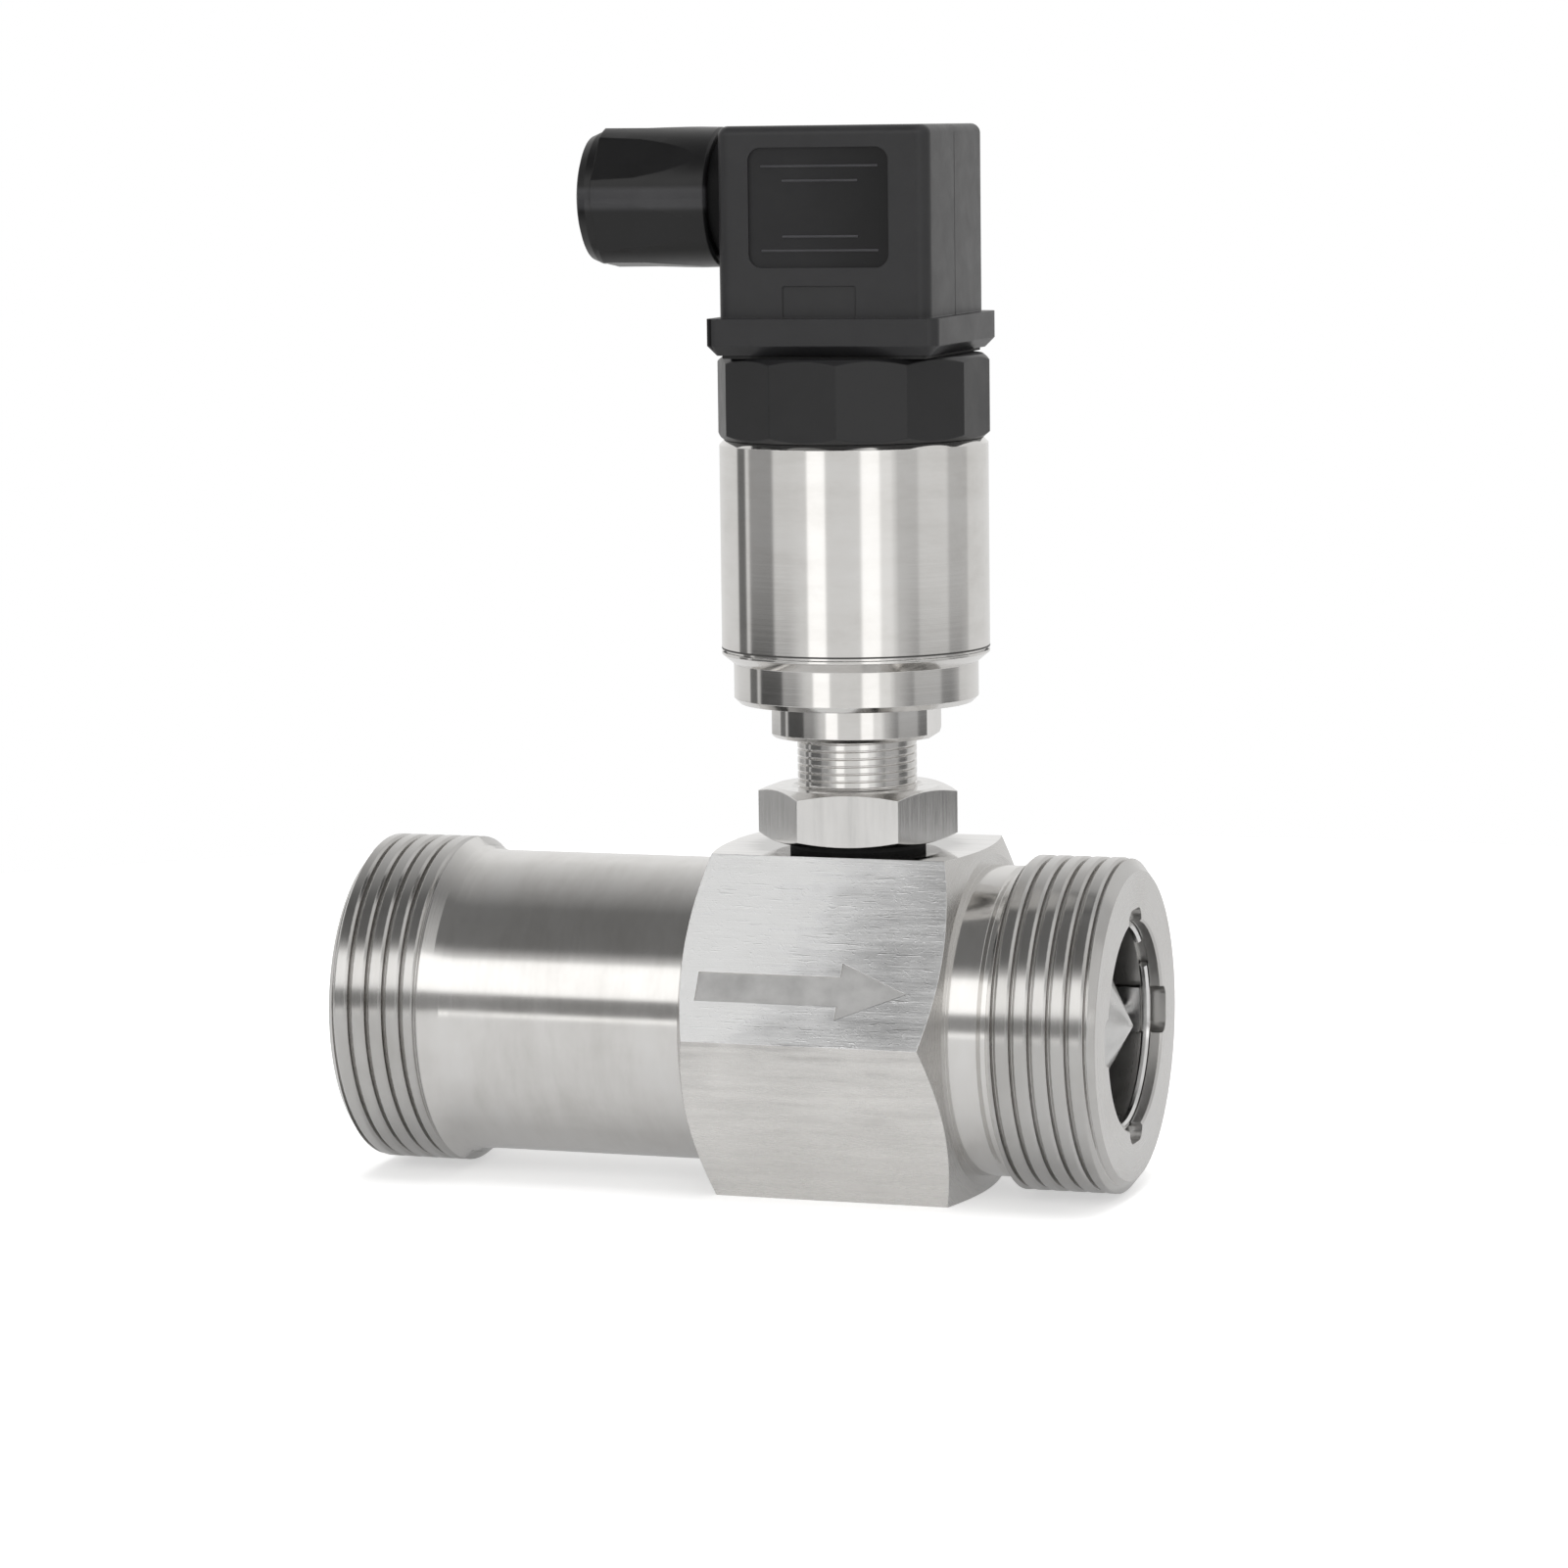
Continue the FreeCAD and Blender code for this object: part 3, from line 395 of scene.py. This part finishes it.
def coloured(name, colour, rough, metallic=0.0, scale=600.0):
    """Plain material with a slightly uneven colour."""
    material, kit, shader, place = new_material(name)
    soft = kit.noise(place, scale, detail=4.0, roughness=0.6)
    dark = tuple(value * 0.88 for value in colour)
    light = tuple(min(1.0, value * 1.1) for value in colour)
    kit.put(kit.ramp(soft, [(0.3, dark), (0.7, light)]), shader.inputs["Base Color"])
    shader.inputs["Metallic"].default_value = metallic
    kit.put(kit.spread(soft, rough * 0.9, rough * 1.1), shader.inputs["Roughness"])
    return material


def wound_wire(name):
    """Enamelled copper wire, wound in close turns round Z."""
    material, kit, shader, place = new_material(name)
    wave = kit.add("ShaderNodeTexWave", wave_type="BANDS", bands_direction="Z",
                   wave_profile="SIN")
    kit.fill(wave, {"Vector": place, "Scale": 1600.0, "Distortion": 0.4})
    turns = wave.outputs["Fac"]
    kit.put(kit.ramp(turns, [(0.1, (0.20, 0.07, 0.03)), (0.8, (0.62, 0.26, 0.12))]),
            shader.inputs["Base Color"])
    shader.inputs["Metallic"].default_value = 0.8
    shader.inputs["Roughness"].default_value = 0.32
    kit.put(kit.bump(turns, 0.6, 0.04 * MM), shader.inputs["Normal"])
    return material


tube_steel = turned_steel("steel_turned_pipe", "X", 0.72, 0.13)
thread_steel = turned_steel("steel_threads", "X", 0.54, 0.17, edge=0.20 * MM)
face_steel = turned_steel("steel_end_faces", "X", 0.62, 0.27, lines=0.8)
# The sanded side gets painted light: lighter towards the inlet, darker towards the outlet
arrow_side_steel = brushed_steel("steel_sanded", "X", 1.0, 0.52, 0.55, scratch=1.0,
                                 warm=-0.004, fade=True, painted_light=painted_light_on_arrow_side)
# The milled sides get a painted reflection of the floor, lighter towards the bottom
hex_steel = brushed_steel("steel_milled", "X", 0.84, 0.28, 0.15, scratch=0.1, warm=0.018,
                          painted_light=painted_reflection_low_on_hexagon)
# The polished top gets painted shade around the nut
top_steel = brushed_steel("steel_polished_top", "X", 0.80, 0.05, 0.03, painted_light=painted_shade_under_nut)
etched_steel = plain_steel("steel_etched_arrow", 0.66, 0.50)
bore_steel = turned_steel("steel_bore", "X", 0.55, 0.30)
pickup_steel = turned_steel("steel_turned_pickup", "Z", 0.72, 0.09, lines=0.4)
neck_steel = turned_steel("steel_neck_thread", "Z", 0.72, 0.12, lines=0.5, edge=0.06 * MM)
nut_steel = brushed_steel("steel_nut", "Z", 0.77, 0.14, 0.15)
guide_steel = plain_steel("steel_guides", 0.64, 0.24)
wire_steel = plain_steel("steel_wire", 0.75, 0.16)
rotor_steel = plain_steel("steel_rotor", 0.50, 0.28)
hard_steel = plain_steel("steel_hard", 0.35, 0.2)
screw_metal = plain_steel("steel_screws", 0.62, 0.28)
plug_plastic = moulded_plastic("plastic_plug", 0.021, 0.40)
# The panel's colour carries painted shade, darker to the right
panel_plastic = moulded_plastic("plastic_panel", 0.016, 0.36, shine=0.28, shade=panel_painted_shade)
# Near-black, dull plastic: painted shade in the gap behind the gland nut
neck_painted_shade_plastic = moulded_plastic("plastic_gland_neck_painted_shade", 0.005, 0.45, shine=0.12)
# Lighter plastic for the raised lines: a painted highlight on their edges
line_plastic_painted_highlight = moulded_plastic("plastic_raised_lines_painted_highlight", 0.075, 0.34, grain=0.1, edge=0.02 * MM)
# The gland nut's colour carries a painted highlight on its front flat
gland_plastic = moulded_plastic("plastic_gland", 0.011, 0.33, grain=0.15, marks=0.8,
                                shine=0.38, shade=gland_painted_highlight)
base_plastic = moulded_plastic("plastic_base", 0.013, 0.38, grain=0.15)
insert_plastic = moulded_plastic("plastic_insert", 0.05, 0.5, grain=0.1)
rubber = soft_rubber("rubber_black")
bearing_plastic = coloured("plastic_bearing", (0.80, 0.78, 0.70), 0.4)
copper = wound_wire("copper_winding")
magnet_plate = coloured("nickel_plate", (0.66, 0.64, 0.60), 0.2, metallic=1.0)
board_green = coloured("board_green", (0.03, 0.20, 0.07), 0.3, scale=900.0)
part_black = coloured("component_black", (0.02, 0.02, 0.02), 0.5)
seam_dark = coloured("seam_dark", (0.045, 0.043, 0.041), 0.5)
tinned = coloured("tinned_brass", (0.66, 0.63, 0.54), 0.28, metallic=1.0)

MATERIALS = {
    "meter_body": tube_steel, "inlet_flow_guide": guide_steel, "outlet_flow_guide": guide_steel,
    "inlet_retaining_ring": wire_steel, "outlet_retaining_ring": wire_steel,
    "inlet_bearing_bush": bearing_plastic, "outlet_bearing_bush": bearing_plastic,
    "inlet_thrust_pad": hard_steel, "outlet_thrust_pad": hard_steel, "rotor": rotor_steel,
    "rotor_shaft": hard_steel, "lock_nut": nut_steel, "neck_gasket": rubber,
    "pickup_stem": pickup_steel, "pickup_housing": pickup_steel, "coil_bobbin": bearing_plastic,
    "pickup_coil": copper, "pole_piece": rotor_steel, "bias_magnet": magnet_plate,
    "amplifier_board": board_green, "board_components": part_black,
    "connector_base": base_plastic, "base_seal": rubber, "contact_pins": tinned,
    "plug_housing": plug_plastic, "plug_gasket": rubber, "plug_insert": insert_plastic,
    "plug_contacts": tinned, "terminal_screws": screw_metal, "fixing_screw": screw_metal,
    "screw_seal": rubber, "gland_nut": gland_plastic, "gland_washer": insert_plastic,
    "gland_grommet": rubber,
}
for node_name, material in MATERIALS.items():
    slots = nodes[node_name].material_slots
    if len(slots) == 0:
        nodes[node_name].data.materials.append(material)
    for slot in slots:
        slot.material = material


# Object and mesh helpers

def link(data, name):
    """New object in the scene for a mesh, a camera or a light."""
    obj = bpy.data.objects.new(name, data)
    bpy.context.scene.collection.objects.link(obj)
    return obj


def mesh_object(work, name):
    """New object from a work mesh, which is freed."""
    mesh = bpy.data.meshes.new(name)
    work.to_mesh(mesh)
    work.free()
    return link(mesh, name)


def circle_steps(steps):
    """Angles in even steps once round a circle."""
    return [2 * math.pi * index / steps for index in range(steps)]


def smooth_by_angle(mesh):
    for polygon in mesh.polygons:
        polygon.use_smooth = True
    mesh.set_sharp_from_angle(angle=math.radians(smooth_degrees))


def copy_of(node_name, name):
    """A welded copy of a CAD node's mesh, as a new piece."""
    mesh = nodes[node_name].data.copy()
    mesh.name = name
    work = bmesh.new()
    work.from_mesh(mesh)
    bmesh.ops.remove_doubles(work, verts=work.verts, dist=0.002 * MM)
    bmesh.ops.dissolve_degenerate(work, edges=work.edges, dist=0.0001 * MM)
    work.to_mesh(mesh)
    work.free()
    layer = mesh.attributes.get("custom_normal")
    if layer is not None:
        mesh.attributes.remove(layer)
    return link(mesh, name)


def cut(obj, cutter):
    """Cut one object out of another, and remove the cutter."""
    modifier = obj.modifiers.new("cut", "BOOLEAN")
    modifier.operation = "DIFFERENCE"
    modifier.solver = "EXACT"
    modifier.object = cutter
    bpy.context.view_layer.update()
    graph = bpy.context.evaluated_depsgraph_get()
    mesh = bpy.data.meshes.new_from_object(obj.evaluated_get(graph))
    old = obj.data
    obj.modifiers.clear()
    obj.data = mesh
    bpy.data.meshes.remove(old)
    bpy.data.objects.remove(cutter)


def groove_section(groove):
    """Outline of a groove cutter as places along the axis and drops below the crest."""
    spare = 0.15 * MM
    (inner, inner_drop), (outer, outer_drop) = groove[-2:]
    wide = outer + (outer - inner) * spare / (inner_drop - outer_drop)
    right_side = [*groove, (wide, -spare)]
    left_side = [(-half, drop) for half, drop in reversed(right_side)]
    return right_side + left_side


def thread_cutter(name, axis, centre, start, end, crest, phase_place, pitch, groove, fade_out,
                  steps=90):
    """Closed helical cutter. phase_place is where one groove's centre crosses the -Y line.
    Where it fades out, it climbs out of the crest past its end."""
    section = groove_section(groove)
    turns = int(math.ceil((end - start) / pitch)) + 1
    first = phase_place - pitch * math.floor((phase_place - start) / pitch) - pitch
    fade_length = 0.4 * pitch
    highest_lift = 1.3
    work = bmesh.new()
    rows = []
    for index in range(turns * steps + 1):
        share = index / steps
        place = first + pitch * share
        if place < start - 0.5 * pitch or place > end + 0.6 * pitch:
            continue
        lift = (place - end) / fade_length if fade_out and place > end else 0.0
        if lift > highest_lift:
            continue
        angle = math.pi + 2 * math.pi * share
        row = []
        for along, drop in section:
            radius = crest - drop + groove[0][1] * lift
            across = radius * math.cos(angle)
            up = radius * math.sin(angle)
            if axis == "X":
                point = Vector((place + along, across, up))
            else:
                point = Vector((-up, across, place + along))
            row.append(work.verts.new(point + centre))
        rows.append(row)
    work.faces.new(rows[0][::-1])
    work.faces.new(rows[-1])
    join_rows(work, rows)
    return mesh_object(work, name)


def join_rows(work, rows):
    """Faces between neighbouring rows of points, each row a closed outline."""
    for first_row, second_row in zip(rows, rows[1:]):
        for index in range(len(first_row)):
            after = (index + 1) % len(first_row)
            work.faces.new((first_row[index], first_row[after], second_row[after],
                            second_row[index]))
    bmesh.ops.recalc_face_normals(work, faces=work.faces)


def ring_cutter(name, centre, place, crest, width, depth):
    """Closed ring with a V section, for a groove all round the pipe."""
    spare = 0.35 * MM
    half = width / 2 / depth * (depth + spare)
    section = ((0.0, crest - depth), (half, crest + spare), (-half, crest + spare))
    work = bmesh.new()
    rows = []
    for angle in circle_steps(180):
        rows.append([work.verts.new(centre + Vector((place + along, radius * math.cos(angle),
                                                     radius * math.sin(angle))))
                     for along, radius in section])
    join_rows(work, rows + rows[:1])
    return mesh_object(work, name)


def turned_normals(obj, axis, centre, flat=(), soft=None):
    """Exact normals on the turned faces, so that cuts and long facets leave no smudges.
    Faces with a flat material keep their own normal. Slopes inside the soft stretch of the
    axis are shaded as gentler ones."""
    soft_share = 0.4
    end_face = 0.95
    off_round = 0.015
    mesh = obj.data
    kept = [corner.vector.copy() for corner in mesh.corner_normals]
    spin = Vector((1, 0, 0)) if axis == "X" else Vector((0, 0, 1))
    for polygon in mesh.polygons:
        own = polygon.normal
        if mesh.materials[polygon.material_index] in flat:
            for index in polygon.loop_indices:
                kept[index] = own.copy()
            continue
        along = own.dot(spin)
        place = (polygon.center - centre).dot(spin)
        softened = soft and soft[0] < place < soft[1] and abs(along) < end_face
        tilt = along * (soft_share if softened else 1.0)
        made = []
        turned = True
        for index in polygon.loop_indices:
            arm = mesh.vertices[mesh.loops[index].vertex_index].co - centre
            arm = (arm - arm.dot(spin) * spin).normalized()
            out = own.dot(arm)
            turned = turned and 1 - along * along - out * out < off_round
            level = math.copysign(math.sqrt(max(0.0, 1 - tilt * tilt)), out)
            made.append((index, tilt * spin + level * arm))
        if turned:
            for index, normal in made:
                kept[index] = normal
    mesh.normals_split_custom_set(kept)


def set_materials(obj, materials, choose):
    """Give each face one of the materials, by its centre and normal."""
    obj.data.materials.clear()
    for material in materials:
        obj.data.materials.append(material)
    for polygon in obj.data.polygons:
        polygon.material_index = materials.index(choose(polygon.center, polygon.normal))


# Pipe body and stem with real threads

def from_arrow_side(y, z):
    """Distance outwards, square to the side of the hexagon that carries the arrow."""
    slope = math.radians(30)
    return z * math.sin(slope) - y * math.cos(slope)


def body_material(place, normal):
    """The steel of a face of the pipe body: bore, end faces, threads, tube or hexagon."""
    along = place.x - inlet_x
    up = place.z - axis_z
    radius = math.hypot(place.y, up)
    if radius < bore_radius:
        return bore_steel
    if radius < keyway_radius and place.y * normal.y + up * normal.z < 0.0:
        return bore_steel
    if abs(normal.x) > facing_along:
        return face_steel
    if along < inlet_thread_faces_end or along > outlet_thread_faces_start:
        return thread_steel
    if not hexagon_start < along < hexagon_end:
        return tube_steel
    if from_arrow_side(normal.y, normal.z) > facing_side:
        sunk = from_arrow_side(place.y, up) < hex_half - etched_at_least
        return etched_steel if sunk else arrow_side_steel
    if normal.z > facing_side:
        return top_steel
    return hex_steel if abs(normal.x) < hardly_along else face_steel


def build_body():
    """The pipe body with its threads cut in. The outlet's groove comes first, because it leaves
    stray faces when it is cut after the inlet's."""
    body = copy_of("meter_body", "body_with_threads")
    centre = Vector((inlet_x, 0, axis_z))
    cut(body, thread_cutter("outlet_groove", "X", centre, outlet_thread_start, body_length,
                            pipe_radius, outlet_groove_place, pipe_pitch, pipe_groove, False))
    cut(body, ring_cutter("inlet_runout", centre, runout_place, pipe_radius, runout_width,
                          runout_depth))
    cut(body, thread_cutter("inlet_groove", "X", centre, 0.0, inlet_thread_end, pipe_radius,
                            inlet_groove_place, pipe_pitch, pipe_groove, True))
    smooth_by_angle(body.data)
    set_materials(body, [tube_steel, thread_steel, face_steel, arrow_side_steel, hex_steel,
                         top_steel, etched_steel, bore_steel], body_material)
    turned_normals(body, "X", centre, (arrow_side_steel, hex_steel, top_steel, etched_steel),
                   shoulder)
    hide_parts("meter_body")
    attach(body, "pipe_body")


def stem_material(place, normal):
    """The steel of a face of the stem: the threaded neck or the rest."""
    low = place.z - axis_z < neck_thread_end + 0.5 * MM
    slim = math.hypot(place.x - pickup_x, place.y) < neck_radius + 0.15 * MM
    return neck_steel if low and slim else pickup_steel


def build_stem():
    """The pickup's stem with the thread of its neck cut in."""
    stem = copy_of("pickup_stem", "stem_with_thread")
    centre = Vector((pickup_x, 0, axis_z))
    cut(stem, thread_cutter("neck_groove", "Z", centre, neck_thread_start, neck_thread_end,
                            neck_radius, neck_groove_place, neck_pitch, neck_groove, True,
                            neck_steps))
    smooth_by_angle(stem.data)
    set_materials(stem, [pickup_steel, neck_steel], stem_material)
    turned_normals(stem, "Z", centre)
    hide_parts("pickup_stem")
    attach(stem, "pickup")


def build_seam():
    """Dark seam between the pickup's sleeve and its rim."""
    radius = 0.5 * (sleeve_high.x - sleeve_low.x)
    inner = radius - 0.3 * MM
    outer = radius + 0.012 * MM
    half = 0.11 * MM
    section = ((inner, -half), (outer, -half), (outer, half), (inner, half))
    work = bmesh.new()
    rows = []
    for angle in circle_steps(128):
        rows.append([work.verts.new((pickup_x + reach * math.cos(angle), reach * math.sin(angle),
                                     sleeve_low.z + rise)) for reach, rise in section])
    join_rows(work, rows + rows[:1])
    seam = mesh_object(work, "sleeve_seam")
    seam.data.materials.append(seam_dark)
    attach(seam, "pickup")


# Plug with its panel and small marks

def build_plug():
    """The plug's own shape, with its panel and the neck behind the gland nut told apart. The neck
    gets a near-black, dull plastic, a painted shade for the gap behind the nut.
    """
    plug = copy_of("plug_housing", "plug_with_panel")
    smooth_by_angle(plug.data)
    back = Matrix.Rotation(-plug_turn, 3, "Z")
    middle = Vector((pickup_x, 0, 0))

    def plug_material(place, normal):
        x, y, z = back @ (place - middle)
        inside = (abs(x + pickup_x - panel_x) < 0.51 * panel_width
                  and abs(z - panel_z) < 0.51 * panel_height)
        if inside and -plug_half + 0.1 * MM < y < -plug_half + 0.6 * MM:
            return panel_plastic
        # The neck behind the gland nut takes the painted shade
        return neck_painted_shade_plastic if x < -plug_half - 0.3 * MM else plug_plastic

    set_materials(plug, [plug_plastic, panel_plastic, neck_painted_shade_plastic], plug_material)
    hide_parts("plug_housing")
    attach(plug, "cable_plug")


def plug_point(x, y, z):
    """Point given in the plug's own axes, turned to the plug's place."""
    return Matrix.Rotation(plug_turn, 3, "Z") @ Vector((x, y, z)) + Vector((pickup_x, 0, 0))


def plug_piece(name, faces, material):
    """Piece of the plug from faces given as rows of points in the plug's own axes."""
    work = bmesh.new()
    for face in faces:
        work.faces.new([work.verts.new(plug_point(*point)) for point in face])
    bmesh.ops.remove_doubles(work, verts=work.verts, dist=0.0001 * MM)
    bmesh.ops.recalc_face_normals(work, faces=work.faces)
    piece = mesh_object(work, name)
    piece.data.materials.append(material)
    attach(piece, "cable_plug")


def ridge_faces(left, length, middle, half, base, crest):
    """Closed ridge along the panel with a three-sided section."""
    low = [(left, base, middle - half), (left, crest, middle), (left, base, middle + half)]
    high = [(x + length, y, z) for x, y, z in low]
    sides = [(low[i], low[(i + 1) % 3], high[(i + 1) % 3], high[i]) for i in range(3)]
    return [low[::-1], high, *sides]


def build_panel_lines():
    """Four raised lines in the front panel, given in mm from its top left corner. Their plastic is
    lighter than the plug's, a painted highlight where their edges catch the light.
    """
    left = panel_x - pickup_x - 0.5 * panel_width
    top = panel_z + 0.5 * panel_height
    floor = -plug_half + 0.4 * MM
    lines = ((2.24, 1.5, 14.75), (4.0, 4.2, 9.5), (10.74, 4.2, 9.5), (12.44, 1.55, 14.75))
    for index, (drop, start, length) in enumerate(lines):
        faces = ridge_faces(left + start * MM, length * MM, top - drop * MM, 0.17 * MM,
                            floor + 0.05 * MM, floor - 0.17 * MM)
        plug_piece("panel_line_" + str(index + 1), faces, line_plastic_painted_highlight)


def build_parting_line():
    """The moulding's line down the right side, a thin strip a little proud of it."""
    side = plug_half + 0.02 * MM
    middle = -0.85 * MM
    half = 0.05 * MM
    depth = 0.1 * MM
    low = plug_top - 23.5 * MM
    high = plug_top - 1.0 * MM
    strip = [(side, middle - half, low), (side, middle + half, low),
             (side, middle + half, high), (side, middle - half, high)]
    back = [(x - depth, y, z) for x, y, z in strip]
    edges = [(strip[i], strip[(i + 1) % 4], back[(i + 1) % 4], back[i]) for i in range(4)]
    plug_piece("parting_line", [strip, back[::-1], *edges], part_black)


build_body()
build_stem()
build_seam()
build_plug()
build_panel_lines()
build_parting_line()


# Camera, from the photograph: the frame's width and the focal length in pixels, the camera's place
# from the middle of the inlet face in metres, and its turns in degrees

image_width = 1601.0
focal_length = 5440.8
sensor_width = 36.0
camera_offset = Vector((0.268145, -0.628832, 0.110581))
yaw, pitch, roll = (math.radians(value) for value in (18.766, -7.016, 0.721))

camera_data = bpy.data.cameras.new("camera")
camera_data.sensor_width = sensor_width
camera_data.sensor_fit = "HORIZONTAL"
camera_data.lens = sensor_width * focal_length / image_width
camera_data.clip_start = 0.01
camera_data.clip_end = 20.0
camera = link(camera_data, "camera")
turn = (Matrix.Rotation(yaw, 3, "Z") @ Matrix.Rotation(pitch, 3, "X")
        @ Matrix.Rotation(roll, 3, "Y"))
right, forward, up = turn.col[0], turn.col[1], turn.col[2]
camera.matrix_world = Matrix((
    (right.x, up.x, -forward.x, inlet_x + camera_offset.x),
    (right.y, up.y, -forward.y, camera_offset.y),
    (right.z, up.z, -forward.z, axis_z + camera_offset.z),
    (0.0, 0.0, 0.0, 1.0)))
bpy.context.scene.camera = camera


# Studio: pale floor, white surround, soft boxes and dark cards in the world. Angles are in degrees. A
# climb runs round the pipe from level at the front, over the top, to level at the back. An azimuth
# runs round the pickup, positive to the camera's right.

surround_level = 0.80
darkest_level = 0.05
surround_colour = (1.0, 0.995, 0.985, 1.0)

# A strip of the ceiling, which the pipe mirrors, is dark above the front and light at the back: the
# climbs and strength of each, and the strip's fade in and out along the pipe
ceiling_dark = (37.0, 50.0, 0.62)
ceiling_light = (84.0, 150.0, 0.70)
strip_fades = (-0.68, -0.56, 0.0, 0.16)

# Long light box over the front, and the dark gap under it: lowest and highest climb, softness, light
long_bands = ((13.0, 39.0, 2.0, 0.66), (-0.8, 12.5, 1.2, -0.52))

# Light bars and dark cards beside the pickup: azimuth, half a width, lowest and highest height,
# strength, softness of the sides
bars = ((-34.0, 8.0, -25.0, -1.2, 0.60, 1.2), (12.5, 8.0, -30.0, 10.0, 0.56, 1.6),
        (26.0, 5.5, -30.0, 10.0, 0.16, 1.8))
cards = ((-114.0, 6.0, -40.0, 60.0, 0.62, 1.6), (-89.0, 14.0, -40.0, 60.0, 0.42, 2.2),
         (45.0, 10.0, -30.0, 30.0, 0.16, 1.8), (99.0, 13.0, -40.0, 60.0, 0.20, 2.5),
         (-136.0, 14.0, -30.0, -6.6, 0.60, 5.0), (104.0, 12.0, -30.0, -6.6, 0.25, 5.0),
         (-80.0, 25.0, -30.0, -5.5, 0.42, 8.0), (76.0, 30.0, -30.0, -5.5, 0.26, 8.0),
         (-72.0, 26.0, -30.0, -6.2, 0.20, 8.0), (84.0, 46.0, -30.0, -6.2, 0.22, 8.0))
bar_end_softness = 1.2
card_end_softness = 0.5


def build_world():
    world = bpy.data.worlds.new("studio")
    world.use_nodes = True
    world.node_tree.nodes.clear()
    kit = Nodes(world.node_tree)
    x, y, z = kit.split(kit.add("ShaderNodeTexCoord").outputs["Generated"])
    forwards = kit.math("MULTIPLY", y, -1.0)
    height = kit.math("ARCSINE", z)
    climb = kit.math("ARCTAN2", z, forwards)
    azimuth = kit.math("SUBTRACT", kit.math("ARCTAN2", x, forwards), yaw)
    azimuth = kit.math("WRAP", azimuth, math.pi, -math.pi)

    def between(value, low, high, soft):
        rise = kit.smooth(value, math.radians(low - soft), math.radians(low + soft))
        fall = kit.smooth(value, math.radians(high - soft), math.radians(high + soft), 1.0, 0.0)
        return kit.math("MULTIPLY", rise, fall)

    def add_light(level, shape, strength):
        return kit.math("ADD", level, kit.math("MULTIPLY", shape, strength))

    low, high, strength = ceiling_dark
    over = kit.smooth(climb, math.radians(low), math.radians(high), 0.0, strength)
    low, high, strength = ceiling_light
    back = kit.linear(climb, math.radians(low), math.radians(high), 0.0, strength)
    rise_low, rise_high, fall_low, fall_high = strip_fades
    strip = kit.math("MULTIPLY", kit.smooth(x, rise_low, rise_high),
                     kit.smooth(x, fall_low, fall_high, 1.0, 0.0))
    ceiling = kit.math("MULTIPLY", kit.math("SUBTRACT", back, over), strip)
    level = kit.math("ADD", surround_level, ceiling)
    for low, high, soft, light in long_bands:
        level = add_light(level, between(climb, low, high, soft), light)
    for shapes, end_softness, sign in ((bars, bar_end_softness, 1.0),
                                       (cards, card_end_softness, -1.0)):
        for middle, half, low, high, strength, soft in shapes:
            shape = kit.math("MULTIPLY", between(azimuth, middle - half, middle + half, soft),
                             between(height, low, high, end_softness))
            level = add_light(level, shape, sign * strength)
    studio = kit.add("ShaderNodeBackground")
    kit.fill(studio, {"Strength": kit.math("MAXIMUM", level, darkest_level),
                      "Color": surround_colour})
    white = kit.add("ShaderNodeBackground")
    kit.fill(white, {"Strength": 1.0, "Color": (1.0, 1.0, 1.0, 1.0)})
    mix = kit.add("ShaderNodeMixShader")
    kit.put(kit.add("ShaderNodeLightPath").outputs["Is Camera Ray"], mix.inputs[0])
    kit.put(studio.outputs[0], mix.inputs[1])
    kit.put(white.outputs[0], mix.inputs[2])
    output = kit.add("ShaderNodeOutputWorld")
    kit.put(mix.outputs[0], output.inputs["Surface"])
    bpy.context.scene.world = world


def build_floor():
    """Round white floor, lifted to white for the camera and evened out for reflections."""
    reach = 0.33
    plain_tone, mirrored_tone = 0.86, 0.48
    camera_glow, mirrored_glow = 0.45, 0.27
    rim = [(reach * math.cos(angle), reach * math.sin(angle), floor_height)
           for angle in circle_steps(96)]
    mesh = bpy.data.meshes.new("floor")
    mesh.from_pydata(rim, [], [tuple(range(len(rim)))])
    floor = link(mesh, "floor")
    material = bpy.data.materials.new("floor_white")
    material.use_nodes = True
    material.node_tree.nodes.clear()
    kit = Nodes(material.node_tree)
    path = kit.add("ShaderNodeLightPath")
    reflected = path.outputs["Is Glossy Ray"]
    matt = kit.add("ShaderNodeBsdfDiffuse")
    kit.put(kit.ramp(reflected, [(0.0, (plain_tone,) * 3), (1.0, (mirrored_tone,) * 3)]),
            matt.inputs["Color"])
    glow = kit.add("ShaderNodeEmission")
    kit.put(kit.math("ADD", kit.math("MULTIPLY", path.outputs["Is Camera Ray"], camera_glow),
                     kit.math("MULTIPLY", reflected, mirrored_glow)), glow.inputs["Strength"])
    both = kit.add("ShaderNodeAddShader")
    kit.put(matt.outputs[0], both.inputs[0])
    kit.put(glow.outputs[0], both.inputs[1])
    output = kit.add("ShaderNodeOutputMaterial")
    kit.put(both.outputs[0], output.inputs["Surface"])
    mesh.materials.append(material)


def build_lamp():
    """Square lamp overhead, aimed at the origin, that no surface mirrors."""
    data = bpy.data.lights.new("top_lamp", "AREA")
    data.shape = "RECTANGLE"
    data.size = 1.0
    data.size_y = 1.0
    data.energy = 9.0
    lamp = link(data, "top_lamp")
    place = Vector((0.0, -0.1, 1.2))
    lamp.location = place
    lamp.rotation_euler = (-place).to_track_quat("-Z", "Y").to_euler()
    lamp.visible_glossy = False


build_world()
build_floor()
build_lamp()
